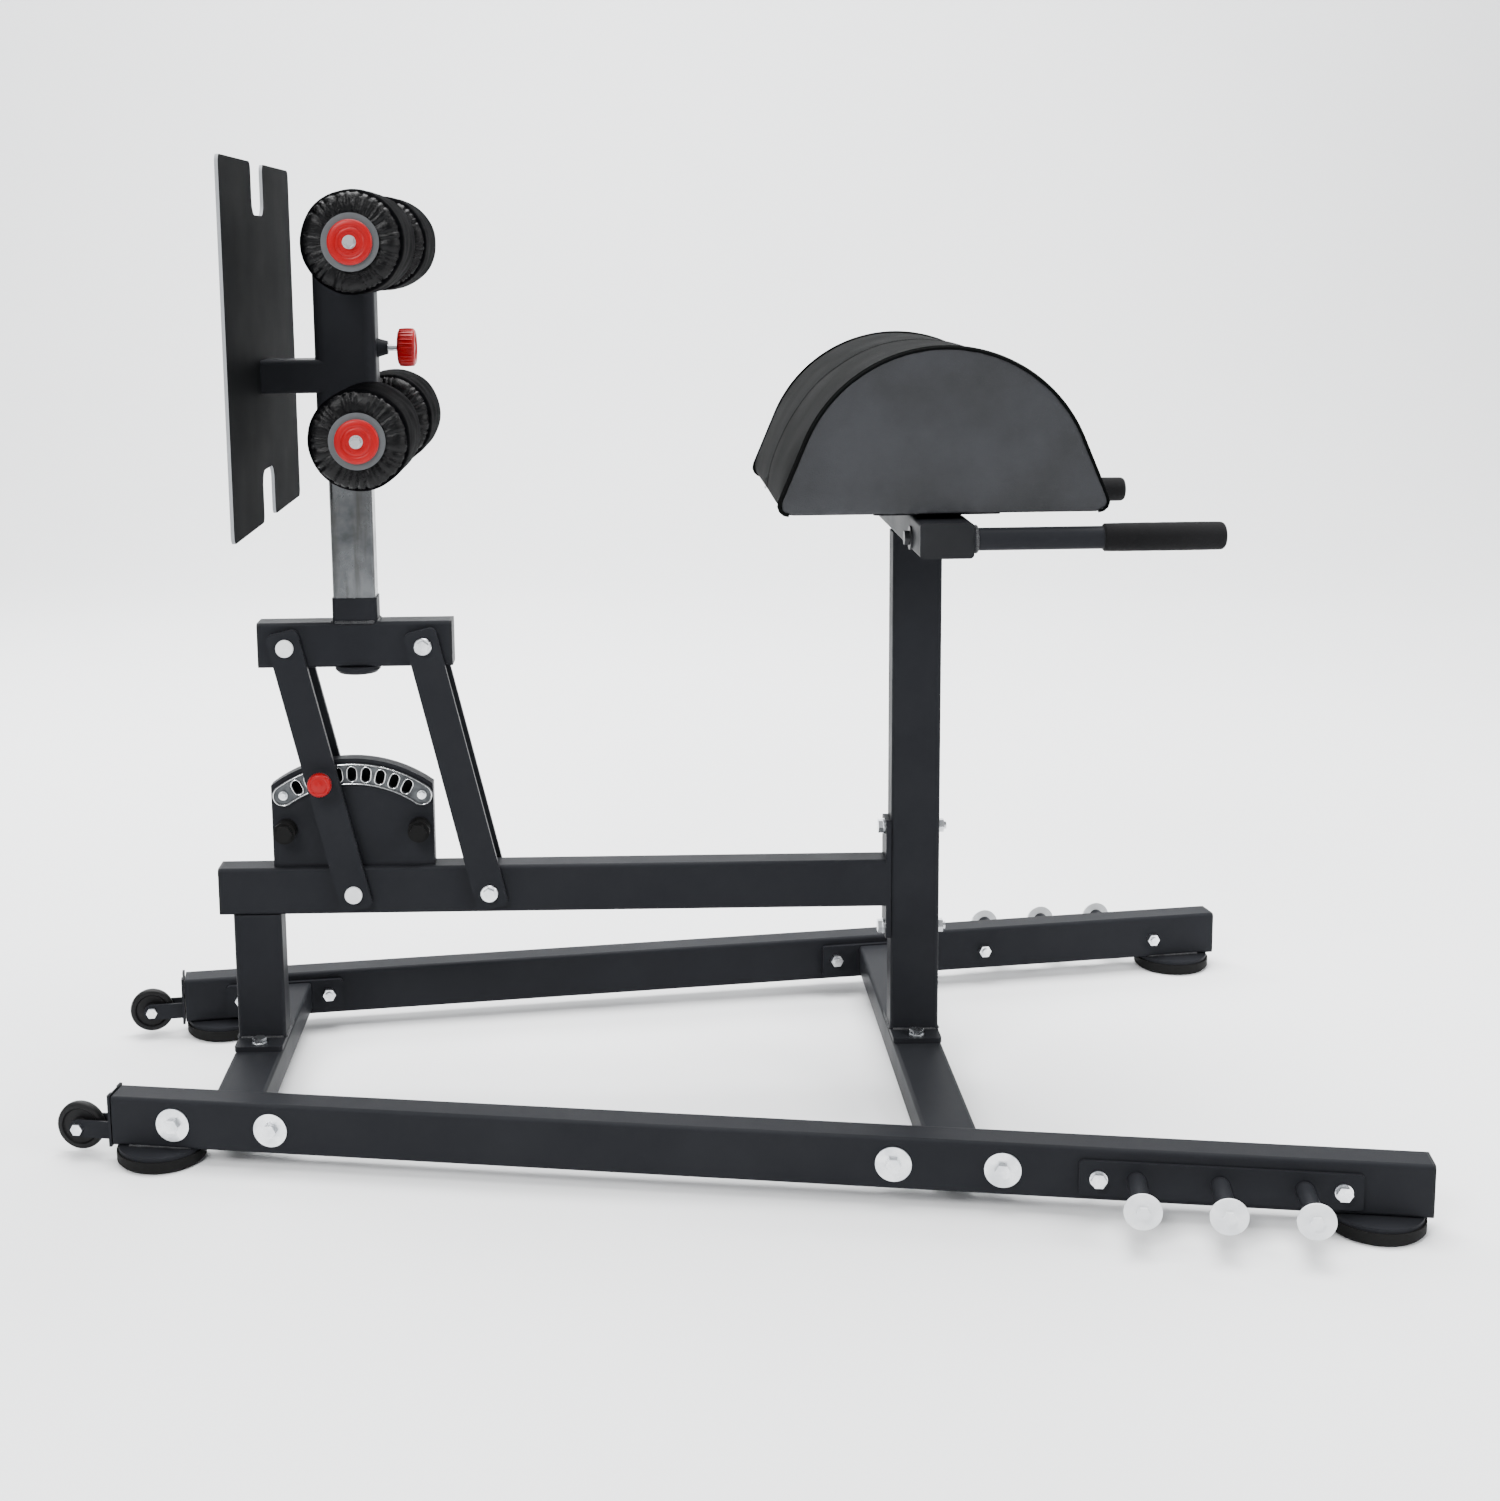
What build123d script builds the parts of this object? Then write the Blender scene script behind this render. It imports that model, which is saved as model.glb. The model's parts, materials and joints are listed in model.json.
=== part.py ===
from build123d import *

import os
from math import cos, radians, sin, tan

# Glute-ham bench with a roman-chair hip pad, in millimetres.
# +X runs from the footplate end (rear) to the hip pad end (front), +Y to the left, +Z up.
# The origin is on the floor, under the middle of the whole machine.

RIGHT = -1
LEFT = 1
SIDES = {"right": RIGHT, "left": LEFT}

# ---- tube stock ----
FRAME_TUBE_LONG = 75.0
FRAME_TUBE_SHORT = 50.0
TUBE_WALL = 3.0
TUBE_CORNER = 6.0
PLUG_THICKNESS = 4.0
PLUG_SPIGOT = 15.0
PLUG_CLEARANCE = 0.2

# ---- fasteners ----
BOLT_RADIUS = 6.0
BOLT_HOLE_RADIUS = 6.5
HEX_ACROSS = 19.0
HEAD_HEIGHT = 7.5
NUT_HEIGHT = 9.0
SHANK_STANDOUT = 4.0
WASHER_THICKNESS = 2.5
SMALL_WASHER_RADIUS = 12.0
LARGE_WASHER_RADIUS = 25.0
SMALL_BOLT_RADIUS = 5.0
SMALL_HEX_ACROSS = 16.0
SMALL_HEAD_HEIGHT = 6.0

# ---- base rails ----
FOOT_HEIGHT = 25.0
FOOT_PLATE = 6.0
FOOT_RADIUS = 65.0
FOOT_BEVEL = 5.0
FOOT_INSET = 65.0
RAIL_LENGTH = 1840.0
RAIL_SPLAY = 8.84
REAR_END_X = -865.0
REAR_HALF_WIDTH = 268.5

# ---- transport wheels ----
WHEEL_RADIUS = 36.5
WHEEL_WIDTH = 20.0
WHEEL_OVERHANG = 58.0
WHEEL_DROP = 18.5
WHEEL_AXLE_RADIUS = 5.0
WHEEL_HUB_RADIUS = 11.0
WHEEL_WEB = 8.0
WHEEL_TREAD = 9.0
BRACKET_PLATE = 4.0
BRACKET_PROUD = 4.0
EAR_GAP = 24.0
EAR_THICKNESS = 4.0
EAR_END_RADIUS = 13.0

# ---- crossbeams ----
CROSSBEAM_DROP = 2.5
REAR_CROSSBEAM_X = -684.0
FRONT_CROSSBEAM_X = 344.0
FLANGE_THICKNESS = 8.0
FLANGE_LENGTH = 196.0
FLANGE_HEIGHT = 55.0
FLANGE_BOLT_OFFSET = 74.0
FLANGE_SHIFT = 7.5

# ---- band pegs ----
RACK_LENGTH = 370.0
RACK_HEIGHT = 50.0
RACK_THICKNESS = 5.0
RACK_INSET = 271.5
RACK_DROP = 3.5
RACK_BOLT_OFFSET = 159.0
PEG_SPACING = 109.0
PEG_RADIUS = 12.5
PEG_LENGTH = 90.0
PEG_WASHER_THICKNESS = 3.0
PEG_BOLT_DEPTH = 25.0

# ---- posts and main beam ----
POST_PLATE = 8.0
POST_PLATE_LENGTH = 130.0
POST_BOLT_OFFSET = 50.0
BEAM_BOTTOM_Z = 293.5
BEAM_OVERHANG = 54.5
BEAM_FLANGE_HEIGHT = 190.0
BEAM_FLANGE_RISE = 5.0
BEAM_BOLT_OFFSET = 81.0

# ---- handle crossbar and handles ----
CROSSBAR_BOTTOM_Z = 882.0
CROSSBAR_HALF_LENGTH = 298.0
HANDLE_RADIUS = 16.0
HANDLE_WALL = 2.5
HANDLE_INSET = 12.0
HANDLE_LENGTH = 346.0
HANDLE_COLLAR_RADIUS = 18.5
HANDLE_COLLAR = 4.0
CROSSBAR_BOLT_Y = 211.0
CROSSBAR_BOLT_DROP = 7.0
CROSSBAR_WASHER_RADIUS = 17.0
GRIP_RADIUS = 19.5
GRIP_LENGTH = 166.0
GRIP_END = 3.0

# ---- hip pad ----
PAD_HALF_WIDTH = 275.0
PAD_RADIUS = 214.0
PAD_SIDE_SLOPE = 22.8
PAD_LIFT = 8.0
PAD_CENTRE_RISE = 17.0
PAD_CORNER = 18.0
BOARD_THICKNESS = 12.0
BOARD_LENGTH = 410.0
BOARD_MARGIN = 25.0
MOUNT_PLATE = 5.0
MOUNT_PLATE_LENGTH = 180.0
MOUNT_PLATE_WIDTH = 420.0

# ---- parallelogram linkage ----
PIVOT_OFFSET = 154.0
PIVOT_DROP = 3.0
PIVOT_SPACING = 211.0
LINK_LENGTH = 402.0
LINK_LEAN = 13.2
LINK_WIDTH = 50.0
LINK_THICKNESS = 10.0
LINK_GAP = 2.0
LINK_OVERHANG = 25.0
LINK_CORNER = 10.0
PIN_RADIUS = 8.0
PIN_CLEARANCE = 0.05
OPEN_PIVOT_CLEARANCE = 0.3
PIN_HEAD_RADIUS = 13.5
PIN_HEAD = 5.0
PIN_SPACER_RADIUS = 14.0
SIDE_CLEARANCE = 0.3

# ---- quadrant and its position arc ----
QUADRANT_WIDTH = 252.0
QUADRANT_RADIUS = 212.0
QUADRANT_DEPTH = 25.0
QUADRANT_PLATE = 5.0
ARC_RADIUS = 188.0
ARC_WIDTH = 34.0
ARC_THICKNESS = 2.5
ARC_RIM = 3.0
ARC_RIM_HEIGHT = 1.5
ARC_SCREW_SPREAD = 35.0
SLOT_LENGTH = 22.0
SLOT_WIDTH = 13.0
SLOT_RING = 2.5
SLOT_PITCH = 6.75
SLOTS_BEHIND = 2
SLOTS_AHEAD = 6
SCREW_HEAD_RADIUS = 7.0
SCREW_HEAD_HEIGHT = 3.5
SCREW_RADIUS = 3.0
BUMPER_OFFSET = 104.0
BUMPER_RISE = 100.0
BUMPER_RADIUS = 17.0
BUMPER_LENGTH = 25.0
BUMPER_HEX_ACROSS = 24.0
BUMPER_HEX_HEIGHT = 8.0

# ---- lock pin on the rear link ----
LOCK_BODY_RADIUS = 9.0
LOCK_COLLAR_RADIUS = 13.0
LOCK_COLLAR = 7.0
LOCK_PLUNGER_RADIUS = 5.5
LOCK_NOSE_GAP = 1.0
LOCK_TRAVEL = 9.0
LOCK_KNOB_RADIUS = 19.0
LOCK_KNOB_LENGTH = 16.0
KNOB_FLUTES = 14
KNOB_FLUTE_RADIUS = 2.4

# ---- carriage and upright ----
CARRIAGE_HEIGHT = 70.0
CARRIAGE_OVERHANG = 40.0
CARRIAGE_RISE = 2.0
UPRIGHT_OFFSET = 106.8
UPRIGHT_LONG = 65.0
UPRIGHT_SHORT = 45.0
UPRIGHT_LENGTH = 608.0
UPRIGHT_HOLE_RADIUS = 6.0
UPRIGHT_HOLE_PITCH = 50.0
HOLES_BELOW = 4
HOLES_ABOVE = 2
COLLAR_HEIGHT = 37.0
COLLAR_WALL = 2.0
BOSS_DISC_RADIUS = 35.0
BOSS_DISC = 11.0
BOSS_DISC_EDGE = 5.0

# ---- sliding sleeve ----
SLEEVE_CORNER = 17.0
SLEEVE_RISE = 253.6
SLEEVE_LENGTH = 362.0
LINER_LENGTH = 22.0
LINER_THICKNESS = 10.0
LINER_CLEARANCE = 0.5
KNOB_RISE = 162.0
BOSS_RADIUS = 14.5
BOSS_TIP_RADIUS = 10.0
BOSS_LENGTH = 16.0
PLUNGER_RADIUS = 5.0
PLUNGER_NOSE_GAP = 2.0
PLUNGER_TRAVEL = 10.0
KNOB_GAP = 5.0
SLEEVE_KNOB_RADIUS = 29.0
SLEEVE_KNOB_LENGTH = 27.0
KNOB_EDGE = 2.5

# ---- footplate ----
BRACKET_LENGTH = 80.0
PLATE_THICKNESS = 5.0
PLATE_WIDTH = 600.0
PLATE_HEIGHT = 532.0
PLATE_RISE = 172.0
PLATE_CORNER = 12.0
NOTCH_WIDTH = 100.0
NOTCH_DEPTH = 77.0
NOTCH_CORNER = 22.0
BRACKET_HEIGHT = 50.0
BRACKET_RISE = 122.0

# ---- ankle rollers ----
UPPER_ROLLER_RISE = 317.5
LOWER_ROLLER_RISE = 45.0
AXLE_GAP = 1.5
ROLLER_RADIUS = 75.0
ROLLER_INNER_Y = 75.0
ROLLER_LENGTH = 200.0
ROLLER_ROUND = 16.0
AXLE_RADIUS = 11.0
AXLE_CLEARANCE = 0.05
AXLE_COLLAR_RADIUS = 17.0
AXLE_COLLAR = 6.0
HUB_RADIUS = 20.0
HUB_FLANGE_RADIUS = 40.0
HUB_FLANGE = 2.0
END_GAP = 0.5
CAP_RADIUS = 31.0
CAP_THICKNESS = 8.0
CAP_EDGE = 2.5
CAP_BOLT_DEPTH = 30.0
CAP_WASHER_RADIUS = 9.5

# ---- places worked out from the sizes above ----
RAIL_MID_Z = FOOT_HEIGHT + FRAME_TUBE_LONG / 2
RACK_STATION = RAIL_LENGTH - RACK_INSET
CROSSBEAM_MID_Z = RAIL_MID_Z - CROSSBEAM_DROP
CROSSBEAM_TOP_Z = CROSSBEAM_MID_Z + FRAME_TUBE_SHORT / 2
POST_BOTTOM_Z = CROSSBEAM_TOP_Z + POST_PLATE
BEAM_MID_Z = BEAM_BOTTOM_Z + FRAME_TUBE_LONG / 2
BEAM_TOP_Z = BEAM_BOTTOM_Z + FRAME_TUBE_LONG
BEAM_HALF = FRAME_TUBE_SHORT / 2
BEAM_REAR_X = REAR_CROSSBEAM_X - BEAM_OVERHANG
POST_REAR_X = FRONT_CROSSBEAM_X - FRAME_TUBE_LONG / 2
POST_FRONT_X = FRONT_CROSSBEAM_X + FRAME_TUBE_LONG / 2
CROSSBAR_MID_Z = CROSSBAR_BOTTOM_Z + FRAME_TUBE_SHORT / 2
CROSSBAR_TOP_Z = CROSSBAR_BOTTOM_Z + FRAME_TUBE_SHORT
HANDLE_HALF_SPACING = CROSSBAR_HALF_LENGTH - HANDLE_INSET
PIVOT_X = REAR_CROSSBEAM_X + PIVOT_OFFSET
PIVOT_Z = BEAM_MID_Z - PIVOT_DROP
LINK_INNER_Y = BEAM_HALF + LINK_GAP
LINK_OUTER_Y = LINK_INNER_Y + LINK_THICKNESS
LINK_RUN_X = -LINK_LENGTH * sin(radians(LINK_LEAN))
LINK_RUN_Z = LINK_LENGTH * cos(radians(LINK_LEAN))
UPPER_PIN_X = PIVOT_X + LINK_RUN_X
UPPER_PIN_Z = PIVOT_Z + LINK_RUN_Z
CARRIAGE_MID_Z = UPPER_PIN_Z + CARRIAGE_RISE
CARRIAGE_TOP_Z = CARRIAGE_MID_Z + CARRIAGE_HEIGHT / 2
CARRIAGE_REAR_X = UPPER_PIN_X - CARRIAGE_OVERHANG
CARRIAGE_LENGTH = PIVOT_SPACING + 2 * CARRIAGE_OVERHANG
QUADRANT_FACE_Y = QUADRANT_DEPTH / 2
UPRIGHT_X = UPPER_PIN_X + UPRIGHT_OFFSET
UPRIGHT_FRONT_X = UPRIGHT_X + UPRIGHT_LONG / 2
LINER_SPACE = 2 * (LINER_THICKNESS + LINER_CLEARANCE + TUBE_WALL)
SLEEVE_LONG = UPRIGHT_LONG + LINER_SPACE
SLEEVE_SHORT = UPRIGHT_SHORT + LINER_SPACE
SLEEVE_FRONT_X = UPRIGHT_X + SLEEVE_LONG / 2
SLEEVE_REAR_X = UPRIGHT_X - SLEEVE_LONG / 2
SLEEVE_BOTTOM_Z = CARRIAGE_TOP_Z + SLEEVE_RISE
KNOB_Z = SLEEVE_BOTTOM_Z + KNOB_RISE
PLATE_FRONT_X = SLEEVE_REAR_X - BRACKET_LENGTH
PLATE_CENTRE_Z = SLEEVE_BOTTOM_Z + PLATE_RISE
BRACKET_CENTRE_Z = SLEEVE_BOTTOM_Z + BRACKET_RISE
ROLLER_X = UPRIGHT_FRONT_X + AXLE_GAP + AXLE_RADIUS
UPPER_ROLLER_Z = SLEEVE_BOTTOM_Z + UPPER_ROLLER_RISE
LOWER_ROLLER_Z = SLEEVE_BOTTOM_Z + LOWER_ROLLER_RISE
ROLLER_OUTER_Y = ROLLER_INNER_Y + ROLLER_LENGTH
AXLE_HALF_LENGTH = ROLLER_OUTER_Y + HUB_FLANGE + END_GAP
SPLAY_SIN = sin(radians(RAIL_SPLAY))
SPLAY_COS = cos(radians(RAIL_SPLAY))

os.makedirs("parts", exist_ok=True)


# ---- planes ----
def rail_plane(side, station, outset=0.0, height=RAIL_MID_Z):
    """Plane on a rail's outer face, its normal pointing away from the machine."""
    along = Vector(SPLAY_COS, side * SPLAY_SIN, 0)
    outward = Vector(-SPLAY_SIN, side * SPLAY_COS, 0)
    corner = Vector(REAR_END_X, side * REAR_HALF_WIDTH, height)
    return Plane(origin=corner + along * station + outward * outset, x_dir=along, z_dir=outward)


def rail_side_plane(side, station, height=RAIL_MID_Z):
    """Upright plane through a rail's middle: local x along the rail, local y up."""
    middle = rail_plane(side, station, -FRAME_TUBE_SHORT / 2, height)
    return Plane(origin=middle.origin, x_dir=middle.x_dir, z_dir=middle.x_dir.cross(Vector(0, 0, 1)))


def rail_end_plane(side, station, facing):
    """Plane across a rail, facing forward (1) or rearward (-1) along it."""
    middle = rail_plane(side, station, -FRAME_TUBE_SHORT / 2)
    return Plane(origin=middle.origin, x_dir=middle.z_dir, z_dir=middle.x_dir * facing)


def side_plane(x, z, y):
    """Upright plane facing right (-Y), local x forward and local y up."""
    return Plane(origin=(x, y, z), x_dir=(1, 0, 0), z_dir=(0, -1, 0))


def left_plane(x, z, y):
    """Upright plane facing left (+Y), local x rearward and local y up."""
    return Plane(origin=(x, y, z), x_dir=(-1, 0, 0), z_dir=(0, 1, 0))


def front_plane(x, y, z, facing=1):
    """Upright plane across the machine, facing forward (1) or rearward (-1)."""
    return Plane(origin=(x, y, z), x_dir=(0, facing, 0), z_dir=(facing, 0, 0))


def flat_plane(x, y, z):
    """Level plane facing up."""
    return Plane(origin=(x, y, z), x_dir=(1, 0, 0), z_dir=(0, 0, 1))


def crossbeam_station(crossbeam_x):
    """Distance along a rail to the middle of the flange that joins a crossbeam to its inner face."""
    return (crossbeam_x - REAR_END_X - FRAME_TUBE_SHORT * SPLAY_SIN) / SPLAY_COS - FLANGE_SHIFT


def facing_side(x, z, y_out, side):
    """Plane at y_out on one side of the machine, facing away from its middle."""
    if side == RIGHT:
        return side_plane(x, z, -y_out)
    return left_plane(x, z, y_out)


# ---- shared shapes ----
def save(piece, name):
    """Labels a finished piece and writes its STEP file."""
    piece.part.label = name
    export_step(piece.part, f"parts/{name}.step")


def tube(plane, width, height, length, wall=TUBE_WALL, corner=TUBE_CORNER):
    """Rectangular steel tube that starts on a plane and runs along its normal."""
    with BuildPart() as stock:
        with BuildSketch(plane):
            RectangleRounded(width, height, corner)
            RectangleRounded(width - 2 * wall, height - 2 * wall, corner - wall, mode=Mode.SUBTRACT)
        extrude(amount=length)
    return stock


def hex_fasteners(planes, grip, washer_radius=SMALL_WASHER_RADIUS):
    """Through bolts: head and washer on each plane, nut at the far side of the grip."""
    with BuildPart() as fasteners:
        with BuildSketch(*planes):
            Circle(washer_radius)
        extrude(amount=WASHER_THICKNESS)
        with BuildSketch(*[plane.offset(WASHER_THICKNESS) for plane in planes]):
            RegularPolygon(HEX_ACROSS / 2, 6, major_radius=False)
        extrude(amount=HEAD_HEIGHT)
        with BuildSketch(*planes):
            Circle(BOLT_RADIUS)
        extrude(amount=-(grip + NUT_HEIGHT + SHANK_STANDOUT))
        with BuildSketch(*[plane.offset(-grip) for plane in planes]):
            RegularPolygon(HEX_ACROSS / 2, 6, major_radius=False)
        extrude(amount=-NUT_HEIGHT)
    return fasteners


def cap_screws(planes, washer_radius, washer_thickness, depth):
    """Hex screws with a washer, whose shanks end inside the piece they are driven into."""
    with BuildPart() as screws:
        with BuildSketch(*planes):
            Circle(washer_radius)
        extrude(amount=washer_thickness)
        with BuildSketch(*[plane.offset(washer_thickness) for plane in planes]):
            RegularPolygon(SMALL_HEX_ACROSS / 2, 6, major_radius=False)
        extrude(amount=SMALL_HEAD_HEIGHT)
        with BuildSketch(*planes):
            Circle(SMALL_BOLT_RADIUS)
        extrude(amount=-depth)
    return screws


def plugs(planes, width, height):
    """Plastic end plugs for rectangular tube, one on each plane."""
    inside = 2 * (TUBE_WALL + PLUG_CLEARANCE)
    with BuildPart() as set_of_plugs:
        with BuildSketch(*planes):
            RectangleRounded(width, height, TUBE_CORNER)
        extrude(amount=PLUG_THICKNESS)
        with BuildSketch(*planes):
            Rectangle(width - inside - TUBE_CORNER / 2, height - inside - TUBE_CORNER / 2)
        extrude(amount=-PLUG_SPIGOT)
    return set_of_plugs


# ---- base rails, plugs and feet ----
rack_height_z = RAIL_MID_Z - RACK_DROP
crossbeam_stations = [
    crossbeam_station(beam_x) + offset
    for beam_x in (REAR_CROSSBEAM_X, FRONT_CROSSBEAM_X)
    for offset in (-FLANGE_BOLT_OFFSET, FLANGE_BOLT_OFFSET)
]
rack_stations = [RACK_STATION - RACK_BOLT_OFFSET, RACK_STATION + RACK_BOLT_OFFSET]

for side_name, side in SIDES.items():
    rail_stock = tube(rail_end_plane(side, 0, 1), FRAME_TUBE_SHORT, FRAME_TUBE_LONG, RAIL_LENGTH)
    with BuildPart() as rail:
        add(rail_stock.part)
        with BuildSketch(*[rail_plane(side, station) for station in crossbeam_stations]):
            Circle(BOLT_HOLE_RADIUS)
        extrude(amount=-FRAME_TUBE_SHORT, mode=Mode.SUBTRACT)
        with BuildSketch(*[rail_plane(side, station, 0, rack_height_z) for station in rack_stations]):
            Circle(BOLT_HOLE_RADIUS)
        extrude(amount=-FRAME_TUBE_SHORT, mode=Mode.SUBTRACT)
    save(rail, f"{side_name}_rail")

foot_stations = (FOOT_INSET, RAIL_LENGTH - FOOT_INSET)
foot_centres = [
    rail_plane(side, station, -FRAME_TUBE_SHORT / 2).origin
    for side in SIDES.values()
    for station in foot_stations
]
with BuildPart() as feet:
    with BuildSketch(*[flat_plane(centre.X, centre.Y, 0) for centre in foot_centres]):
        Circle(FOOT_RADIUS)
    extrude(amount=FOOT_HEIGHT - FOOT_PLATE)
    chamfer(feet.faces().group_by(Axis.Z)[0].edges(), length=FOOT_BEVEL)
save(feet, "feet")

with BuildPart() as foot_plates:
    with BuildSketch(*[flat_plane(centre.X, centre.Y, FOOT_HEIGHT) for centre in foot_centres]):
        Circle(FOOT_RADIUS - FOOT_PLATE / 2)
    extrude(amount=-FOOT_PLATE)
save(foot_plates, "foot_plates")

# ---- transport wheels at the rear ends of the rails ----
wheel_axle_z = RAIL_MID_Z - WHEEL_DROP
bracket_outside = EAR_GAP + 2 * EAR_THICKNESS

with BuildPart() as wheel_brackets:
    end_planes = [rail_end_plane(side, 0, -1) for side in SIDES.values()]
    with BuildSketch(*[plane.move(Location((0, 0, BRACKET_PROUD / 2))) for plane in end_planes]):
        Rectangle(FRAME_TUBE_SHORT, FRAME_TUBE_LONG + BRACKET_PROUD)
    extrude(amount=BRACKET_PLATE)
    axle_planes = [rail_side_plane(side, -WHEEL_OVERHANG, wheel_axle_z) for side in SIDES.values()]
    ear_reach = WHEEL_OVERHANG - BRACKET_PLATE
    with BuildSketch(*axle_planes):
        Circle(EAR_END_RADIUS)
        with Locations((ear_reach / 2, 0)):
            Rectangle(ear_reach, 2 * EAR_END_RADIUS)
    extrude(amount=bracket_outside / 2, both=True)
    with BuildSketch(*axle_planes):
        Rectangle(2 * ear_reach, 2 * FRAME_TUBE_LONG)
    extrude(amount=EAR_GAP / 2, both=True, mode=Mode.SUBTRACT)
    with BuildSketch(*axle_planes):
        Circle(WHEEL_AXLE_RADIUS)
    extrude(amount=bracket_outside, both=True, mode=Mode.SUBTRACT)
save(wheel_brackets, "wheel_brackets")

with BuildPart() as wheel_axle_bolts:
    with BuildSketch(*axle_planes):
        Circle(WHEEL_AXLE_RADIUS)
    extrude(amount=bracket_outside / 2 + SMALL_HEAD_HEIGHT, both=True)
    for face_offset in (bracket_outside / 2, -bracket_outside / 2 - SMALL_HEAD_HEIGHT):
        with BuildSketch(*[plane.offset(face_offset) for plane in axle_planes]):
            RegularPolygon(SMALL_HEX_ACROSS / 2, 6, major_radius=False)
        extrude(amount=SMALL_HEAD_HEIGHT)
save(wheel_axle_bolts, "wheel_axle_bolts")

for side_name, side in SIDES.items():
    axle_plane = rail_side_plane(side, -WHEEL_OVERHANG, wheel_axle_z)
    with BuildPart() as wheel:
        with BuildSketch(axle_plane):
            Circle(WHEEL_RADIUS)
        extrude(amount=WHEEL_WIDTH / 2, both=True)
        chamfer(wheel.edges().filter_by(GeomType.CIRCLE), length=KNOB_EDGE)
        for face in (axle_plane.offset(WHEEL_WEB / 2), axle_plane.offset(-WHEEL_WIDTH / 2)):
            with BuildSketch(face):
                Circle(WHEEL_RADIUS - WHEEL_TREAD)
                Circle(WHEEL_HUB_RADIUS, mode=Mode.SUBTRACT)
            extrude(amount=(WHEEL_WIDTH - WHEEL_WEB) / 2, mode=Mode.SUBTRACT)
        with BuildSketch(axle_plane):
            Circle(WHEEL_AXLE_RADIUS + PIN_CLEARANCE)
        extrude(amount=WHEEL_WIDTH, both=True, mode=Mode.SUBTRACT)
    save(wheel, f"{side_name}_wheel")

# ---- crossbeams with welded end flanges ----
for beam_name, beam_x in (("rear_crossbeam", REAR_CROSSBEAM_X), ("front_crossbeam", FRONT_CROSSBEAM_X)):
    station = crossbeam_station(beam_x)
    inner_planes = {
        side: rail_plane(side, station, -FRAME_TUBE_SHORT, CROSSBEAM_MID_Z) for side in SIDES.values()
    }
    reach = inner_planes[LEFT].origin.Y + FRAME_TUBE_LONG
    beam_stock = tube(
        side_plane(beam_x, CROSSBEAM_MID_Z, reach), FRAME_TUBE_LONG, FRAME_TUBE_SHORT, 2 * reach
    )
    with BuildPart() as crossbeam:
        add(beam_stock.part)
        for side in SIDES.values():
            split(bisect_by=inner_planes[side].offset(-FLANGE_THICKNESS), keep=Keep.BOTTOM)
        for side, inner_plane in inner_planes.items():
            hole_y = -side * CROSSBEAM_DROP
            with BuildSketch(inner_plane):
                RectangleRounded(FLANGE_LENGTH, FLANGE_HEIGHT, TUBE_CORNER)
                with Locations((-FLANGE_BOLT_OFFSET, hole_y), (FLANGE_BOLT_OFFSET, hole_y)):
                    Circle(BOLT_HOLE_RADIUS, mode=Mode.SUBTRACT)
            extrude(amount=-FLANGE_THICKNESS)
        with BuildSketch(flat_plane(beam_x, 0, FOOT_HEIGHT)):
            with Locations((0, -POST_BOLT_OFFSET), (0, POST_BOLT_OFFSET)):
                Circle(BOLT_HOLE_RADIUS)
        extrude(amount=CROSSBEAM_TOP_Z, mode=Mode.SUBTRACT)
    save(crossbeam, beam_name)

crossbeam_bolt_planes = [
    rail_plane(side, station) for side in SIDES.values() for station in crossbeam_stations
]
crossbeam_bolts = hex_fasteners(
    crossbeam_bolt_planes, FRAME_TUBE_SHORT + FLANGE_THICKNESS, LARGE_WASHER_RADIUS
)
save(crossbeam_bolts, "crossbeam_bolts")

# ---- band peg racks on the outside of the rails ----
peg_stations = (RACK_STATION - PEG_SPACING, RACK_STATION, RACK_STATION + PEG_SPACING)
for side_name, side in SIDES.items():
    with BuildPart() as peg_rack:
        with BuildSketch(rail_plane(side, RACK_STATION, 0, rack_height_z)):
            RectangleRounded(RACK_LENGTH, RACK_HEIGHT, TUBE_CORNER)
            with Locations((-RACK_BOLT_OFFSET, 0), (RACK_BOLT_OFFSET, 0)):
                Circle(BOLT_HOLE_RADIUS, mode=Mode.SUBTRACT)
        extrude(amount=RACK_THICKNESS)
        peg_roots = [rail_plane(side, station, RACK_THICKNESS, rack_height_z) for station in peg_stations]
        with BuildSketch(*peg_roots):
            Circle(PEG_RADIUS)
        extrude(amount=PEG_LENGTH)
        with BuildSketch(*[root.offset(PEG_LENGTH) for root in peg_roots]):
            Circle(SMALL_BOLT_RADIUS)
        extrude(amount=-PEG_BOLT_DEPTH, mode=Mode.SUBTRACT)
    save(peg_rack, f"{side_name}_peg_rack")

peg_ends = [
    rail_plane(side, station, RACK_THICKNESS + PEG_LENGTH, rack_height_z)
    for side in SIDES.values()
    for station in peg_stations
]
peg_end_washers = cap_screws(peg_ends, LARGE_WASHER_RADIUS, PEG_WASHER_THICKNESS, PEG_BOLT_DEPTH)
save(peg_end_washers, "peg_end_washers")

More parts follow.
